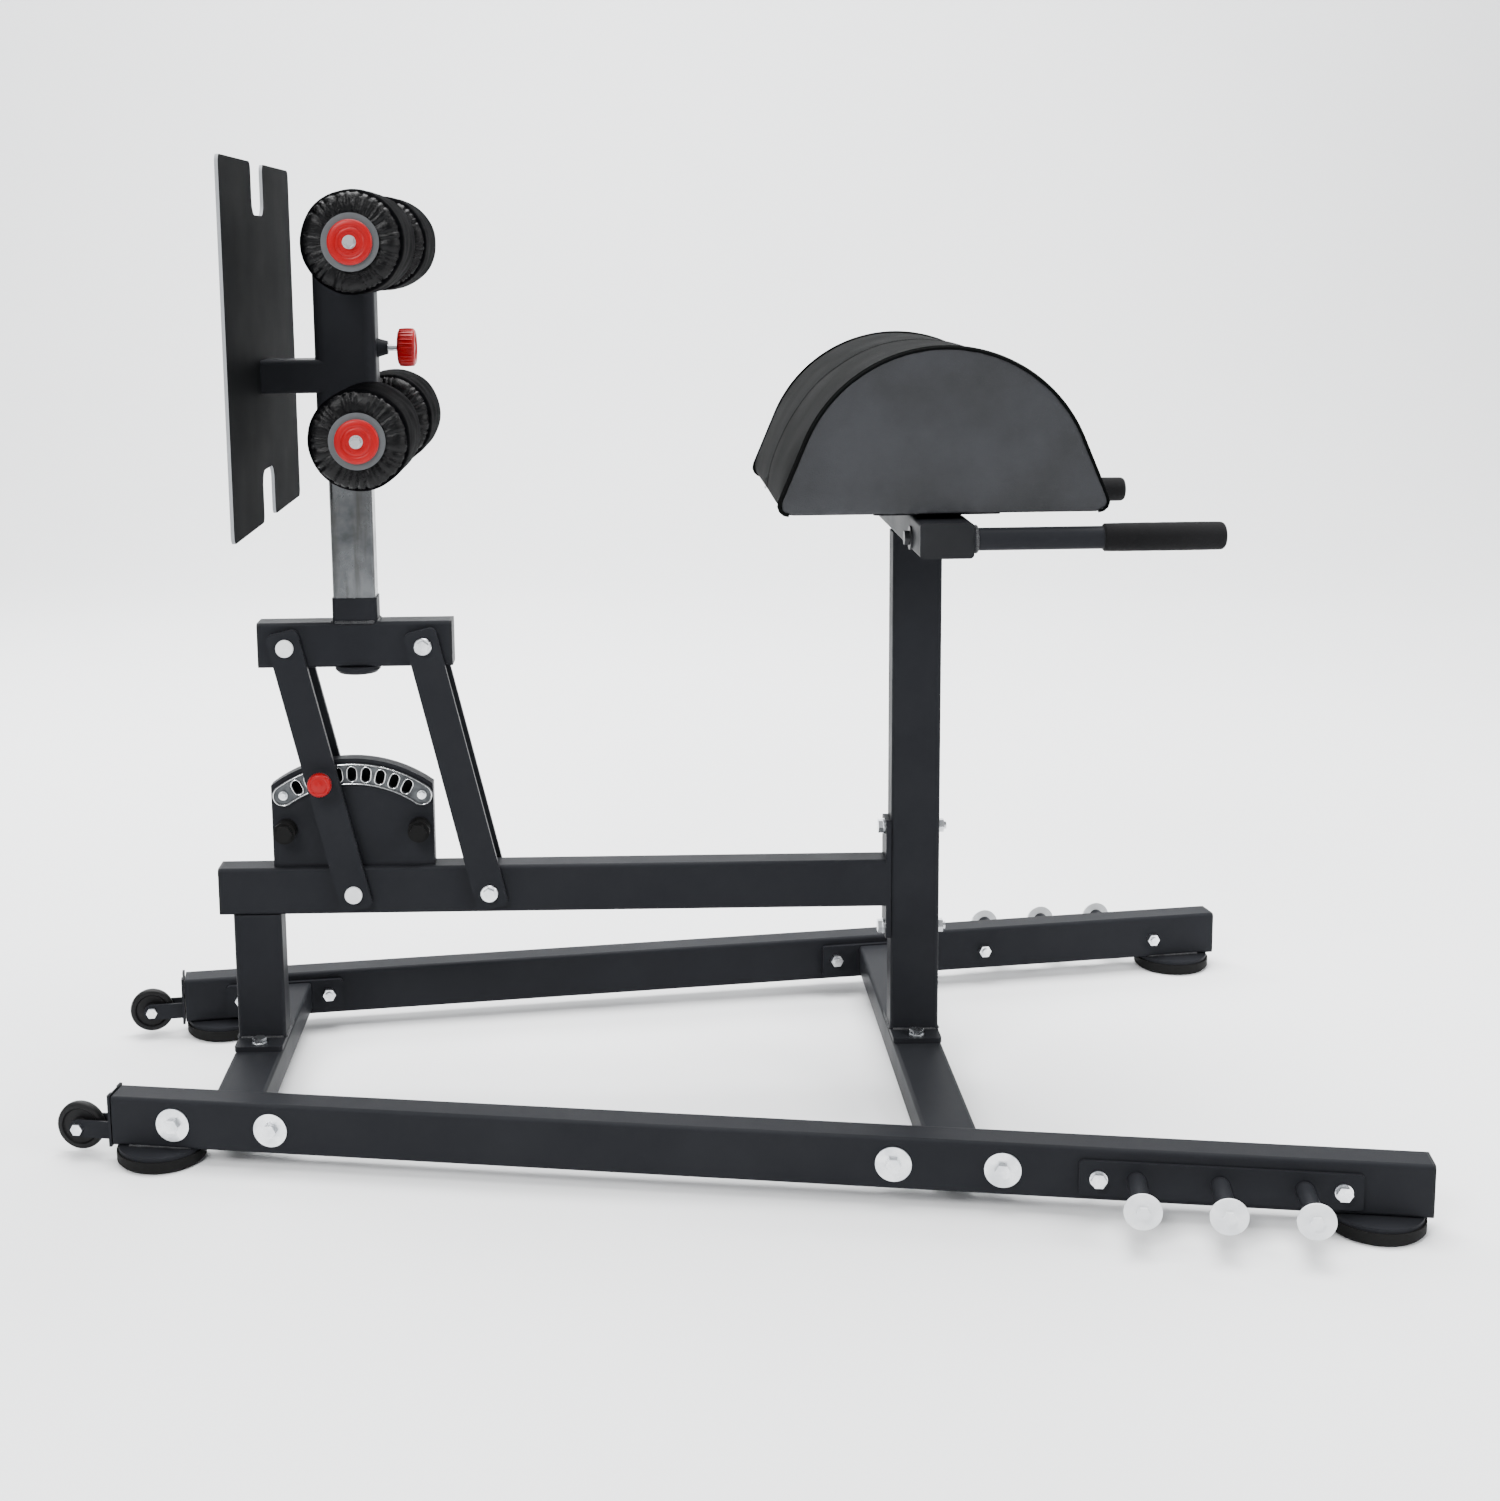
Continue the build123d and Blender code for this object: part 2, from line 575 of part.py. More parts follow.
# ---- posts, each welded to a base plate ----
post_heights = {
    "rear_post": (REAR_CROSSBEAM_X, BEAM_BOTTOM_Z - POST_BOTTOM_Z),
    "main_post": (FRONT_CROSSBEAM_X, CROSSBAR_BOTTOM_Z - POST_BOTTOM_Z),
}
beam_flange_mid_z = BEAM_MID_Z + BEAM_FLANGE_RISE
beam_bolt_heights = (beam_flange_mid_z - BEAM_BOLT_OFFSET, beam_flange_mid_z + BEAM_BOLT_OFFSET)
for post_name, (post_x, post_height) in post_heights.items():
    post_stock = tube(flat_plane(post_x, 0, POST_BOTTOM_Z), FRAME_TUBE_LONG, FRAME_TUBE_SHORT, post_height)
    with BuildPart() as post:
        add(post_stock.part)
        with BuildSketch(flat_plane(post_x, 0, CROSSBEAM_TOP_Z)):
            RectangleRounded(FRAME_TUBE_LONG, POST_PLATE_LENGTH, TUBE_CORNER)
            with Locations((0, -POST_BOLT_OFFSET), (0, POST_BOLT_OFFSET)):
                Circle(BOLT_HOLE_RADIUS, mode=Mode.SUBTRACT)
        extrude(amount=POST_PLATE)
        if post_name == "main_post":
            with BuildSketch(*[front_plane(POST_REAR_X, 0, z) for z in beam_bolt_heights]):
                Circle(BOLT_HOLE_RADIUS)
            extrude(amount=FRAME_TUBE_LONG, mode=Mode.SUBTRACT)
    save(post, post_name)

# ---- main beam with its end flange, bolted to the main post ----
beam_length = POST_REAR_X - FLANGE_THICKNESS - BEAM_REAR_X
lower_pin_xs = (PIVOT_X, PIVOT_X + PIVOT_SPACING)
beam_stock = tube(
    front_plane(BEAM_REAR_X, 0, BEAM_MID_Z), FRAME_TUBE_SHORT, FRAME_TUBE_LONG, beam_length
)
with BuildPart() as main_beam:
    add(beam_stock.part)
    with BuildSketch(front_plane(POST_REAR_X - FLANGE_THICKNESS, 0, beam_flange_mid_z)):
        RectangleRounded(FRAME_TUBE_SHORT, BEAM_FLANGE_HEIGHT, TUBE_CORNER)
        with Locations((0, -BEAM_BOLT_OFFSET), (0, BEAM_BOLT_OFFSET)):
            Circle(BOLT_HOLE_RADIUS, mode=Mode.SUBTRACT)
    extrude(amount=FLANGE_THICKNESS)
    with BuildSketch(*[side_plane(pin_x, PIVOT_Z, 0) for pin_x in lower_pin_xs]):
        Circle(PIN_RADIUS + PIN_CLEARANCE)
    extrude(amount=FRAME_TUBE_SHORT, both=True, mode=Mode.SUBTRACT)
save(main_beam, "main_beam")

rack_bolt_planes = [
    rail_plane(side, station, RACK_THICKNESS, rack_height_z)
    for side in SIDES.values()
    for station in rack_stations
]
post_bolt_planes = [
    flat_plane(post_x, offset, POST_BOTTOM_Z)
    for post_x in (REAR_CROSSBEAM_X, FRONT_CROSSBEAM_X)
    for offset in (-POST_BOLT_OFFSET, POST_BOLT_OFFSET)
]
beam_bolt_planes = [
    front_plane(POST_REAR_X - FLANGE_THICKNESS, 0, z, -1) for z in beam_bolt_heights
]
rack_bolts = hex_fasteners(rack_bolt_planes, RACK_THICKNESS + FRAME_TUBE_SHORT)
post_bolts = hex_fasteners(post_bolt_planes, POST_PLATE + FRAME_TUBE_SHORT)
beam_bolts = hex_fasteners(beam_bolt_planes, FLANGE_THICKNESS + FRAME_TUBE_LONG)
with BuildPart() as frame_bolts:
    add(rack_bolts.part)
    add(post_bolts.part)
    add(beam_bolts.part)
save(frame_bolts, "frame_bolts")

# ---- handle crossbar on top of the main post ----
crossbar_stock = tube(
    side_plane(FRONT_CROSSBEAM_X, CROSSBAR_MID_Z, CROSSBAR_HALF_LENGTH),
    FRAME_TUBE_LONG, FRAME_TUBE_SHORT, 2 * CROSSBAR_HALF_LENGTH,
)
crossbar_bolt_planes = [
    front_plane(POST_REAR_X, side * CROSSBAR_BOLT_Y, CROSSBAR_MID_Z - CROSSBAR_BOLT_DROP, -1)
    for side in SIDES.values()
]
with BuildPart() as handle_crossbar:
    add(crossbar_stock.part)
    with BuildSketch(flat_plane(FRONT_CROSSBEAM_X, 0, CROSSBAR_TOP_Z)):
        RectangleRounded(MOUNT_PLATE_LENGTH, MOUNT_PLATE_WIDTH, TUBE_CORNER)
    extrude(amount=MOUNT_PLATE)
    with BuildSketch(*crossbar_bolt_planes):
        Circle(BOLT_HOLE_RADIUS)
    extrude(amount=-FRAME_TUBE_LONG, mode=Mode.SUBTRACT)
save(handle_crossbar, "handle_crossbar")

crossbar_bolts = hex_fasteners(crossbar_bolt_planes, FRAME_TUBE_LONG, CROSSBAR_WASHER_RADIUS)
save(crossbar_bolts, "crossbar_bolts")

rail_plug_planes = [rail_end_plane(side, RAIL_LENGTH, 1) for side in SIDES.values()]
crossbar_plug_planes = [
    facing_side(FRONT_CROSSBEAM_X, CROSSBAR_MID_Z, CROSSBAR_HALF_LENGTH, side) for side in SIDES.values()
]
beam_plug_planes = [front_plane(BEAM_REAR_X, 0, BEAM_MID_Z, -1)]
upright_stock_plugs = plugs(rail_plug_planes + beam_plug_planes, FRAME_TUBE_SHORT, FRAME_TUBE_LONG)
flat_stock_plugs = plugs(crossbar_plug_planes, FRAME_TUBE_LONG, FRAME_TUBE_SHORT)
with BuildPart() as frame_plugs:
    add(upright_stock_plugs.part)
    add(flat_stock_plugs.part)
save(frame_plugs, "frame_plugs")

# ---- handles and their grips ----
grip_start_x = POST_FRONT_X + HANDLE_LENGTH - GRIP_LENGTH
for side_name, side in SIDES.items():
    handle_y = side * HANDLE_HALF_SPACING
    handle_root = front_plane(POST_FRONT_X, handle_y, CROSSBAR_MID_Z)
    with BuildPart() as handle:
        with BuildSketch(handle_root):
            Circle(HANDLE_RADIUS)
        extrude(amount=HANDLE_LENGTH)
        with BuildSketch(handle_root):
            Circle(HANDLE_COLLAR_RADIUS)
        extrude(amount=HANDLE_COLLAR)
        with BuildSketch(handle_root):
            Circle(HANDLE_RADIUS - HANDLE_WALL)
        extrude(amount=HANDLE_LENGTH, mode=Mode.SUBTRACT)
    save(handle, f"{side_name}_handle")

    with BuildPart() as grip:
        with BuildSketch(front_plane(grip_start_x, handle_y, CROSSBAR_MID_Z)):
            Circle(GRIP_RADIUS)
        extrude(amount=GRIP_LENGTH + GRIP_END)
        fillet(grip.edges().filter_by(GeomType.CIRCLE), radius=GRIP_END)
        with BuildSketch(front_plane(grip_start_x, handle_y, CROSSBAR_MID_Z)):
            Circle(HANDLE_RADIUS)
        extrude(amount=GRIP_LENGTH, mode=Mode.SUBTRACT)
    save(grip, f"{side_name}_grip")

# ---- hip pad: a D-shaped cushion on a board ----
board_bottom_z = CROSSBAR_TOP_Z + MOUNT_PLATE
pad_bottom_z = board_bottom_z + PAD_LIFT
board_top_z = board_bottom_z + BOARD_THICKNESS
board_width = 2 * (PAD_HALF_WIDTH - BOARD_MARGIN)
slope = radians(PAD_SIDE_SLOPE)
shoulder_x = PAD_RADIUS * cos(slope)
shoulder_z = PAD_CENTRE_RISE + PAD_RADIUS * sin(slope)
base_x = shoulder_x + shoulder_z * tan(slope)
with BuildPart() as pad_board:
    with BuildSketch(flat_plane(FRONT_CROSSBEAM_X, 0, board_bottom_z)):
        RectangleRounded(BOARD_LENGTH, board_width, PAD_CORNER)
    extrude(amount=BOARD_THICKNESS)
save(pad_board, "pad_board")

with BuildPart() as hip_pad:
    with BuildSketch(side_plane(FRONT_CROSSBEAM_X, pad_bottom_z, 0)):
        with BuildLine():
            ThreePointArc(
                (shoulder_x, shoulder_z), (0, PAD_CENTRE_RISE + PAD_RADIUS), (-shoulder_x, shoulder_z)
            )
            Polyline((-shoulder_x, shoulder_z), (-base_x, 0), (base_x, 0), (shoulder_x, shoulder_z))
        pad_face = make_face()
        fillet(pad_face.vertices().group_by(Axis.Z)[0], radius=PAD_CORNER)
    extrude(amount=PAD_HALF_WIDTH, both=True)
    with BuildSketch(flat_plane(FRONT_CROSSBEAM_X, 0, pad_bottom_z)):
        RectangleRounded(BOARD_LENGTH, board_width, PAD_CORNER)
    extrude(amount=board_top_z - pad_bottom_z, mode=Mode.SUBTRACT)
save(hip_pad, "hip_pad")

# ---- quadrant on the main beam, with its slotted position arc ----
slot_angles = [
    90 + LINK_LEAN + SLOT_PITCH * step for step in range(-SLOTS_AHEAD, SLOTS_BEHIND + 1)
]
arc_middle = (slot_angles[0] + slot_angles[-1]) / 2
slot_places = PolarLocations(
    ARC_RADIUS, len(slot_angles), start_angle=slot_angles[0], angular_range=slot_angles[-1] - slot_angles[0],
    endpoint=True,
)
screw_places = PolarLocations(
    ARC_RADIUS,
    2,
    start_angle=arc_middle - ARC_SCREW_SPREAD,
    angular_range=2 * ARC_SCREW_SPREAD,
    endpoint=True,
)
quadrant_face = side_plane(PIVOT_X, PIVOT_Z, -QUADRANT_FACE_Y)
quadrant_base = BEAM_TOP_Z - PIVOT_Z
bumper_places = [(-BUMPER_OFFSET, BUMPER_RISE), (BUMPER_OFFSET, BUMPER_RISE)]

with BuildPart() as quadrant:
    with BuildSketch(quadrant_face):
        Circle(QUADRANT_RADIUS)
        Rectangle(QUADRANT_WIDTH, 2 * QUADRANT_RADIUS, mode=Mode.INTERSECT)
        with Locations((0, quadrant_base)):
            Rectangle(
                QUADRANT_WIDTH, 2 * QUADRANT_RADIUS, align=(Align.CENTER, Align.MAX), mode=Mode.SUBTRACT
            )
    extrude(amount=-QUADRANT_DEPTH)
    with BuildSketch(quadrant_face.offset(-QUADRANT_PLATE)):
        Circle(QUADRANT_RADIUS - QUADRANT_PLATE)
        Rectangle(QUADRANT_WIDTH - 2 * QUADRANT_PLATE, 2 * QUADRANT_RADIUS, mode=Mode.INTERSECT)
        with Locations((0, quadrant_base)):
            Rectangle(
                QUADRANT_WIDTH, 2 * QUADRANT_RADIUS, align=(Align.CENTER, Align.MAX), mode=Mode.SUBTRACT
            )
    extrude(amount=-(QUADRANT_DEPTH - 2 * QUADRANT_PLATE), mode=Mode.SUBTRACT)
    with BuildSketch(quadrant_face):
        with slot_places:
            SlotOverall(SLOT_LENGTH, SLOT_WIDTH)
        with screw_places:
            Circle(SCREW_RADIUS)
    extrude(amount=-QUADRANT_PLATE, mode=Mode.SUBTRACT)
save(quadrant, "quadrant")

with BuildPart() as position_arc:
    with BuildSketch(quadrant_face):
        with BuildLine():
            arc_line = CenterArc((0, 0), ARC_RADIUS, arc_middle - ARC_SCREW_SPREAD, 2 * ARC_SCREW_SPREAD)
        SlotArc(arc_line, ARC_WIDTH)
    extrude(amount=ARC_THICKNESS)
    with BuildSketch(quadrant_face.offset(ARC_THICKNESS)):
        SlotArc(arc_line, ARC_WIDTH)
        SlotArc(arc_line, ARC_WIDTH - 2 * ARC_RIM, mode=Mode.SUBTRACT)
    extrude(amount=ARC_RIM_HEIGHT)
    with BuildSketch(quadrant_face.offset(ARC_THICKNESS)):
        with slot_places:
            SlotOverall(SLOT_LENGTH + 2 * SLOT_RING, SLOT_WIDTH + 2 * SLOT_RING)
    extrude(amount=ARC_RIM_HEIGHT / 2)
    with BuildSketch(quadrant_face):
        with slot_places:
            SlotOverall(SLOT_LENGTH, SLOT_WIDTH)
        with screw_places:
            Circle(SCREW_RADIUS)
    extrude(amount=ARC_THICKNESS + ARC_RIM_HEIGHT, mode=Mode.SUBTRACT)
save(position_arc, "position_arc")

with BuildPart() as arc_screws:
    with BuildSketch(quadrant_face.offset(ARC_THICKNESS)):
        with screw_places:
            Circle(SCREW_HEAD_RADIUS)
    extrude(amount=SCREW_HEAD_HEIGHT)
    chamfer(arc_screws.faces().sort_by(Axis.Y)[:2].edges(), length=SCREW_HEAD_HEIGHT / 3)
    with BuildSketch(quadrant_face.offset(ARC_THICKNESS)):
        with screw_places:
            Circle(SCREW_RADIUS)
    extrude(amount=-(ARC_THICKNESS + QUADRANT_PLATE))
save(arc_screws, "arc_screws")

with BuildPart() as bumpers:
    with BuildSketch(quadrant_face):
        with Locations(*bumper_places):
            Circle(BUMPER_RADIUS)
    extrude(amount=BUMPER_LENGTH)
    with BuildSketch(quadrant_face.offset(BUMPER_LENGTH)):
        with Locations(*bumper_places):
            RegularPolygon(BUMPER_HEX_ACROSS / 2, 6, major_radius=False)
    extrude(amount=BUMPER_HEX_HEIGHT)
save(bumpers, "bumpers")


# ---- parallelogram links ----
def link_plane(pivot_x, y, facing):
    """Plane of a link's face: local x runs up the link from its lower pin."""
    lean = Vector(LINK_RUN_X, 0, LINK_RUN_Z)
    return Plane(origin=(pivot_x, y, PIVOT_Z), x_dir=lean, z_dir=(0, facing, 0))


for link_name, pivot_x in (("rear_link", PIVOT_X), ("front_link", PIVOT_X + PIVOT_SPACING)):
    for side_name, side in SIDES.items():
        inner_face = link_plane(pivot_x, side * LINK_INNER_Y, side)
        with BuildPart() as link:
            with BuildSketch(inner_face):
                with Locations((LINK_LENGTH / 2, 0)):
                    RectangleRounded(LINK_LENGTH + 2 * LINK_OVERHANG, LINK_WIDTH, LINK_CORNER)
                with Locations((0, 0), (LINK_LENGTH, 0)):
                    Circle(PIN_RADIUS, mode=Mode.SUBTRACT)
                if link_name == "rear_link" and side == RIGHT:
                    with Locations((ARC_RADIUS, 0)):
                        Circle(LOCK_BODY_RADIUS, mode=Mode.SUBTRACT)
            extrude(amount=LINK_THICKNESS)
        save(link, f"{link_name}_{side_name}")

    pin_ends = [
        facing_side(pin_x, pin_z, LINK_OUTER_Y, side)
        for pin_x, pin_z in ((pivot_x, PIVOT_Z), (pivot_x + LINK_RUN_X, UPPER_PIN_Z))
        for side in SIDES.values()
    ]
    pin_middles = [side_plane(pivot_x, PIVOT_Z, 0), side_plane(pivot_x + LINK_RUN_X, UPPER_PIN_Z, 0)]
    with BuildPart() as pins:
        with BuildSketch(*pin_middles):
            Circle(PIN_RADIUS)
        extrude(amount=LINK_OUTER_Y, both=True)
        with BuildSketch(*pin_ends):
            Circle(PIN_HEAD_RADIUS)
        extrude(amount=PIN_HEAD)
        chamfer(pins.faces().filter_by(Axis.Y).group_by(Axis.Y)[-1].edges(), length=PIN_HEAD / 4)
        chamfer(pins.faces().filter_by(Axis.Y).group_by(Axis.Y)[0].edges(), length=PIN_HEAD / 4)
        with BuildSketch(*[plane.offset(-LINK_THICKNESS) for plane in pin_ends]):
            Circle(PIN_SPACER_RADIUS)
        extrude(amount=-(LINK_GAP - SIDE_CLEARANCE))
    save(pins, f"{link_name}_pins")

# ---- lock pin: housing in the rear link, sprung plunger and knob ----
lock_face = Plane(
    origin=(
        PIVOT_X - ARC_RADIUS * sin(radians(LINK_LEAN)),
        -LINK_INNER_Y,
        PIVOT_Z + ARC_RADIUS * cos(radians(LINK_LEAN)),
    ),
    x_dir=(1, 0, 0),
    z_dir=(0, -1, 0),
)
arc_outer_y = QUADRANT_FACE_Y + ARC_THICKNESS + ARC_RIM_HEIGHT
lock_nose_y = arc_outer_y + LOCK_NOSE_GAP
lock_knob_start = LINK_THICKNESS + LOCK_COLLAR + LOCK_TRAVEL + 2 * SIDE_CLEARANCE
with BuildPart() as lock_housing:
    with BuildSketch(lock_face):
        Circle(LOCK_BODY_RADIUS)
    extrude(amount=LINK_THICKNESS + LOCK_COLLAR)
    with BuildSketch(lock_face.offset(LINK_THICKNESS)):
        Circle(LOCK_COLLAR_RADIUS)
    extrude(amount=LOCK_COLLAR)
    with BuildSketch(lock_face):
        Circle(LOCK_PLUNGER_RADIUS + PIN_CLEARANCE)
    extrude(amount=LINK_THICKNESS + LOCK_COLLAR, mode=Mode.SUBTRACT)
save(lock_housing, "lock_housing")

with BuildPart() as lock_plunger:
    with BuildSketch(lock_face.offset(lock_nose_y - LINK_INNER_Y)):
        Circle(LOCK_PLUNGER_RADIUS)
    extrude(amount=LINK_INNER_Y - lock_nose_y + lock_knob_start + LOCK_KNOB_LENGTH / 2)
    chamfer(lock_plunger.faces().sort_by(Axis.Y)[-1].edges(), length=LOCK_PLUNGER_RADIUS / 4)
save(lock_plunger, "lock_plunger")

with BuildPart() as lock_knob:
    with BuildSketch(lock_face.offset(lock_knob_start)):
        Circle(LOCK_KNOB_RADIUS)
    extrude(amount=LOCK_KNOB_LENGTH)
    fillet(lock_knob.edges().filter_by(GeomType.CIRCLE), radius=KNOB_EDGE)
    with BuildSketch(lock_face.offset(lock_knob_start)):
        Circle(LOCK_PLUNGER_RADIUS)
    extrude(amount=LOCK_KNOB_LENGTH / 2, mode=Mode.SUBTRACT)
save(lock_knob, "lock_knob")

# ---- carriage bar carried by the links ----
carriage_stock = tube(
    front_plane(CARRIAGE_REAR_X, 0, CARRIAGE_MID_Z), FRAME_TUBE_SHORT, CARRIAGE_HEIGHT, CARRIAGE_LENGTH
)
with BuildPart() as carriage_bar:
    add(carriage_stock.part)
    with BuildSketch(flat_plane(UPRIGHT_X, 0, CARRIAGE_TOP_Z - CARRIAGE_HEIGHT)):
        Circle(BOSS_DISC_RADIUS)
    extrude(amount=-BOSS_DISC)
    chamfer(carriage_bar.faces().sort_by(Axis.Z)[0].edges(), length=BOSS_DISC_EDGE)
    with BuildSketch(side_plane(UPPER_PIN_X, UPPER_PIN_Z, 0)):
        Circle(PIN_RADIUS + PIN_CLEARANCE)
    extrude(amount=FRAME_TUBE_SHORT, both=True, mode=Mode.SUBTRACT)
    with BuildSketch(side_plane(UPPER_PIN_X + PIVOT_SPACING, UPPER_PIN_Z, 0)):
        Circle(PIN_RADIUS + OPEN_PIVOT_CLEARANCE)
    extrude(amount=FRAME_TUBE_SHORT, both=True, mode=Mode.SUBTRACT)
save(carriage_bar, "carriage_bar")

upright_base = flat_plane(UPRIGHT_X, 0, CARRIAGE_TOP_Z)
upright_stock = tube(upright_base, UPRIGHT_LONG, UPRIGHT_SHORT, UPRIGHT_LENGTH)
hole_heights = [KNOB_Z + UPRIGHT_HOLE_PITCH * step for step in range(-HOLES_BELOW, HOLES_ABOVE + 1)]
with BuildPart() as upright:
    add(upright_stock.part)
    with BuildSketch(*[front_plane(UPRIGHT_FRONT_X, 0, z) for z in hole_heights]):
        Circle(UPRIGHT_HOLE_RADIUS)
    extrude(amount=-2 * TUBE_WALL, mode=Mode.SUBTRACT)
save(upright, "upright")

with BuildPart() as upright_collar:
    with BuildSketch(upright_base):
        RectangleRounded(
            UPRIGHT_LONG + 2 * COLLAR_WALL, UPRIGHT_SHORT + 2 * COLLAR_WALL, TUBE_CORNER + COLLAR_WALL
        )
        RectangleRounded(UPRIGHT_LONG, UPRIGHT_SHORT, TUBE_CORNER, mode=Mode.SUBTRACT)
    extrude(amount=COLLAR_HEIGHT)
save(upright_collar, "upright_collar")

carriage_plug_planes = [
    front_plane(CARRIAGE_REAR_X, 0, CARRIAGE_MID_Z, -1),
    front_plane(CARRIAGE_REAR_X + CARRIAGE_LENGTH, 0, CARRIAGE_MID_Z, 1),
]
carriage_end_plugs = plugs(carriage_plug_planes, FRAME_TUBE_SHORT, CARRIAGE_HEIGHT)
upright_plug = plugs([upright_base.offset(UPRIGHT_LENGTH)], UPRIGHT_LONG, UPRIGHT_SHORT)
with BuildPart() as carriage_plugs:
    add(carriage_end_plugs.part)
    add(upright_plug.part)
save(carriage_plugs, "carriage_plugs")

# ---- sleeve that slides on the upright, with the footplate's bracket and the knob's boss ----
sleeve_base = flat_plane(UPRIGHT_X, 0, SLEEVE_BOTTOM_Z)
axle_heights = {"upper": UPPER_ROLLER_Z, "lower": LOWER_ROLLER_Z}
roller_axis_planes = [side_plane(ROLLER_X, z, 0) for z in axle_heights.values()]
boss_plane = front_plane(SLEEVE_FRONT_X, 0, KNOB_Z)
bracket_stock = tube(
    front_plane(PLATE_FRONT_X, 0, BRACKET_CENTRE_Z), SLEEVE_SHORT, BRACKET_HEIGHT,
    BRACKET_LENGTH + SLEEVE_CORNER,
)
with BuildPart() as sleeve:
    add(bracket_stock.part)
    with BuildSketch(sleeve_base):
        RectangleRounded(SLEEVE_LONG, SLEEVE_SHORT, SLEEVE_CORNER)
    extrude(amount=SLEEVE_LENGTH)
    with BuildSketch(boss_plane):
        Circle(BOSS_RADIUS)
    with BuildSketch(boss_plane.offset(BOSS_LENGTH)):
        Circle(BOSS_TIP_RADIUS)
    loft()
    with BuildSketch(sleeve_base):
        RectangleRounded(
            SLEEVE_LONG - 2 * TUBE_WALL, SLEEVE_SHORT - 2 * TUBE_WALL, SLEEVE_CORNER - TUBE_WALL
        )
    extrude(amount=SLEEVE_LENGTH, mode=Mode.SUBTRACT)
    with BuildSketch(boss_plane.offset(BOSS_LENGTH)):
        Circle(PLUNGER_RADIUS + PIN_CLEARANCE)
    extrude(amount=-(BOSS_LENGTH + 2 * TUBE_WALL), mode=Mode.SUBTRACT)
    with BuildSketch(*roller_axis_planes):
        Circle(AXLE_RADIUS)
    extrude(amount=SLEEVE_SHORT, both=True, mode=Mode.SUBTRACT)
save(sleeve, "sleeve")

with BuildPart() as sleeve_liners:
    with BuildSketch(sleeve_base, sleeve_base.offset(SLEEVE_LENGTH - LINER_LENGTH)):
        RectangleRounded(
            SLEEVE_LONG - 2 * TUBE_WALL, SLEEVE_SHORT - 2 * TUBE_WALL, SLEEVE_CORNER - TUBE_WALL
        )
        RectangleRounded(
            UPRIGHT_LONG + 2 * LINER_CLEARANCE, UPRIGHT_SHORT + 2 * LINER_CLEARANCE, TUBE_CORNER,
            mode=Mode.SUBTRACT,
        )
    extrude(amount=LINER_LENGTH)
save(sleeve_liners, "sleeve_liners")

knob_start_x = SLEEVE_FRONT_X + BOSS_LENGTH + PLUNGER_TRAVEL + KNOB_GAP
with BuildPart() as sleeve_plunger:
    with BuildSketch(front_plane(UPRIGHT_FRONT_X + PLUNGER_NOSE_GAP, 0, KNOB_Z)):
        Circle(PLUNGER_RADIUS)
    extrude(amount=knob_start_x + SLEEVE_KNOB_LENGTH / 2 - UPRIGHT_FRONT_X - PLUNGER_NOSE_GAP)
    chamfer(sleeve_plunger.faces().sort_by(Axis.X)[0].edges(), length=PLUNGER_RADIUS / 4)
save(sleeve_plunger, "sleeve_plunger")

knob_plane = front_plane(knob_start_x, 0, KNOB_Z)
with BuildPart() as sleeve_knob:
    with BuildSketch(knob_plane):
        Circle(SLEEVE_KNOB_RADIUS)
        with PolarLocations(SLEEVE_KNOB_RADIUS, KNOB_FLUTES):
            Circle(KNOB_FLUTE_RADIUS, mode=Mode.SUBTRACT)
    extrude(amount=SLEEVE_KNOB_LENGTH)
    with BuildSketch(knob_plane):
        Circle(PLUNGER_RADIUS)
    extrude(amount=SLEEVE_KNOB_LENGTH / 2, mode=Mode.SUBTRACT)
save(sleeve_knob, "sleeve_knob")

# ---- footplate, notched top and bottom so that it passes the upright and the links ----
notch_mouth = PLATE_HEIGHT / 2
with BuildPart() as footplate:
    with BuildSketch(front_plane(PLATE_FRONT_X, 0, PLATE_CENTRE_Z)) as plate_outline:
        Rectangle(PLATE_WIDTH, PLATE_HEIGHT)
        fillet(plate_outline.vertices(), radius=PLATE_CORNER)
        with Locations((0, notch_mouth), (0, -notch_mouth)):
            RectangleRounded(NOTCH_WIDTH, 2 * NOTCH_DEPTH, NOTCH_CORNER, mode=Mode.SUBTRACT)
        mouth_corners = [
            corner
            for corner in plate_outline.vertices()
            if abs(abs(corner.Y) - notch_mouth) < PLATE_THICKNESS and abs(corner.X) < NOTCH_WIDTH
        ]
        fillet(mouth_corners, radius=PLATE_CORNER)
    extrude(amount=-PLATE_THICKNESS)
save(footplate, "footplate")

# ---- roller axles, hubs, rollers, caps and bolts ----
axle_ends = [
    facing_side(ROLLER_X, z, AXLE_HALF_LENGTH, side) for z in axle_heights.values() for side in SIDES.values()
]
axle_collar_planes = [
    facing_side(ROLLER_X, z, ROLLER_INNER_Y - HUB_FLANGE - END_GAP, side)
    for z in axle_heights.values()
    for side in SIDES.values()
]
with BuildPart() as roller_axles:
    with BuildSketch(*roller_axis_planes):
        Circle(AXLE_RADIUS)
    extrude(amount=AXLE_HALF_LENGTH, both=True)
    with BuildSketch(*axle_collar_planes):
        Circle(AXLE_COLLAR_RADIUS)
    extrude(amount=-AXLE_COLLAR)
    with BuildSketch(*axle_ends):
        Circle(SMALL_BOLT_RADIUS)
    extrude(amount=-CAP_BOLT_DEPTH, mode=Mode.SUBTRACT)
save(roller_axles, "roller_axles")

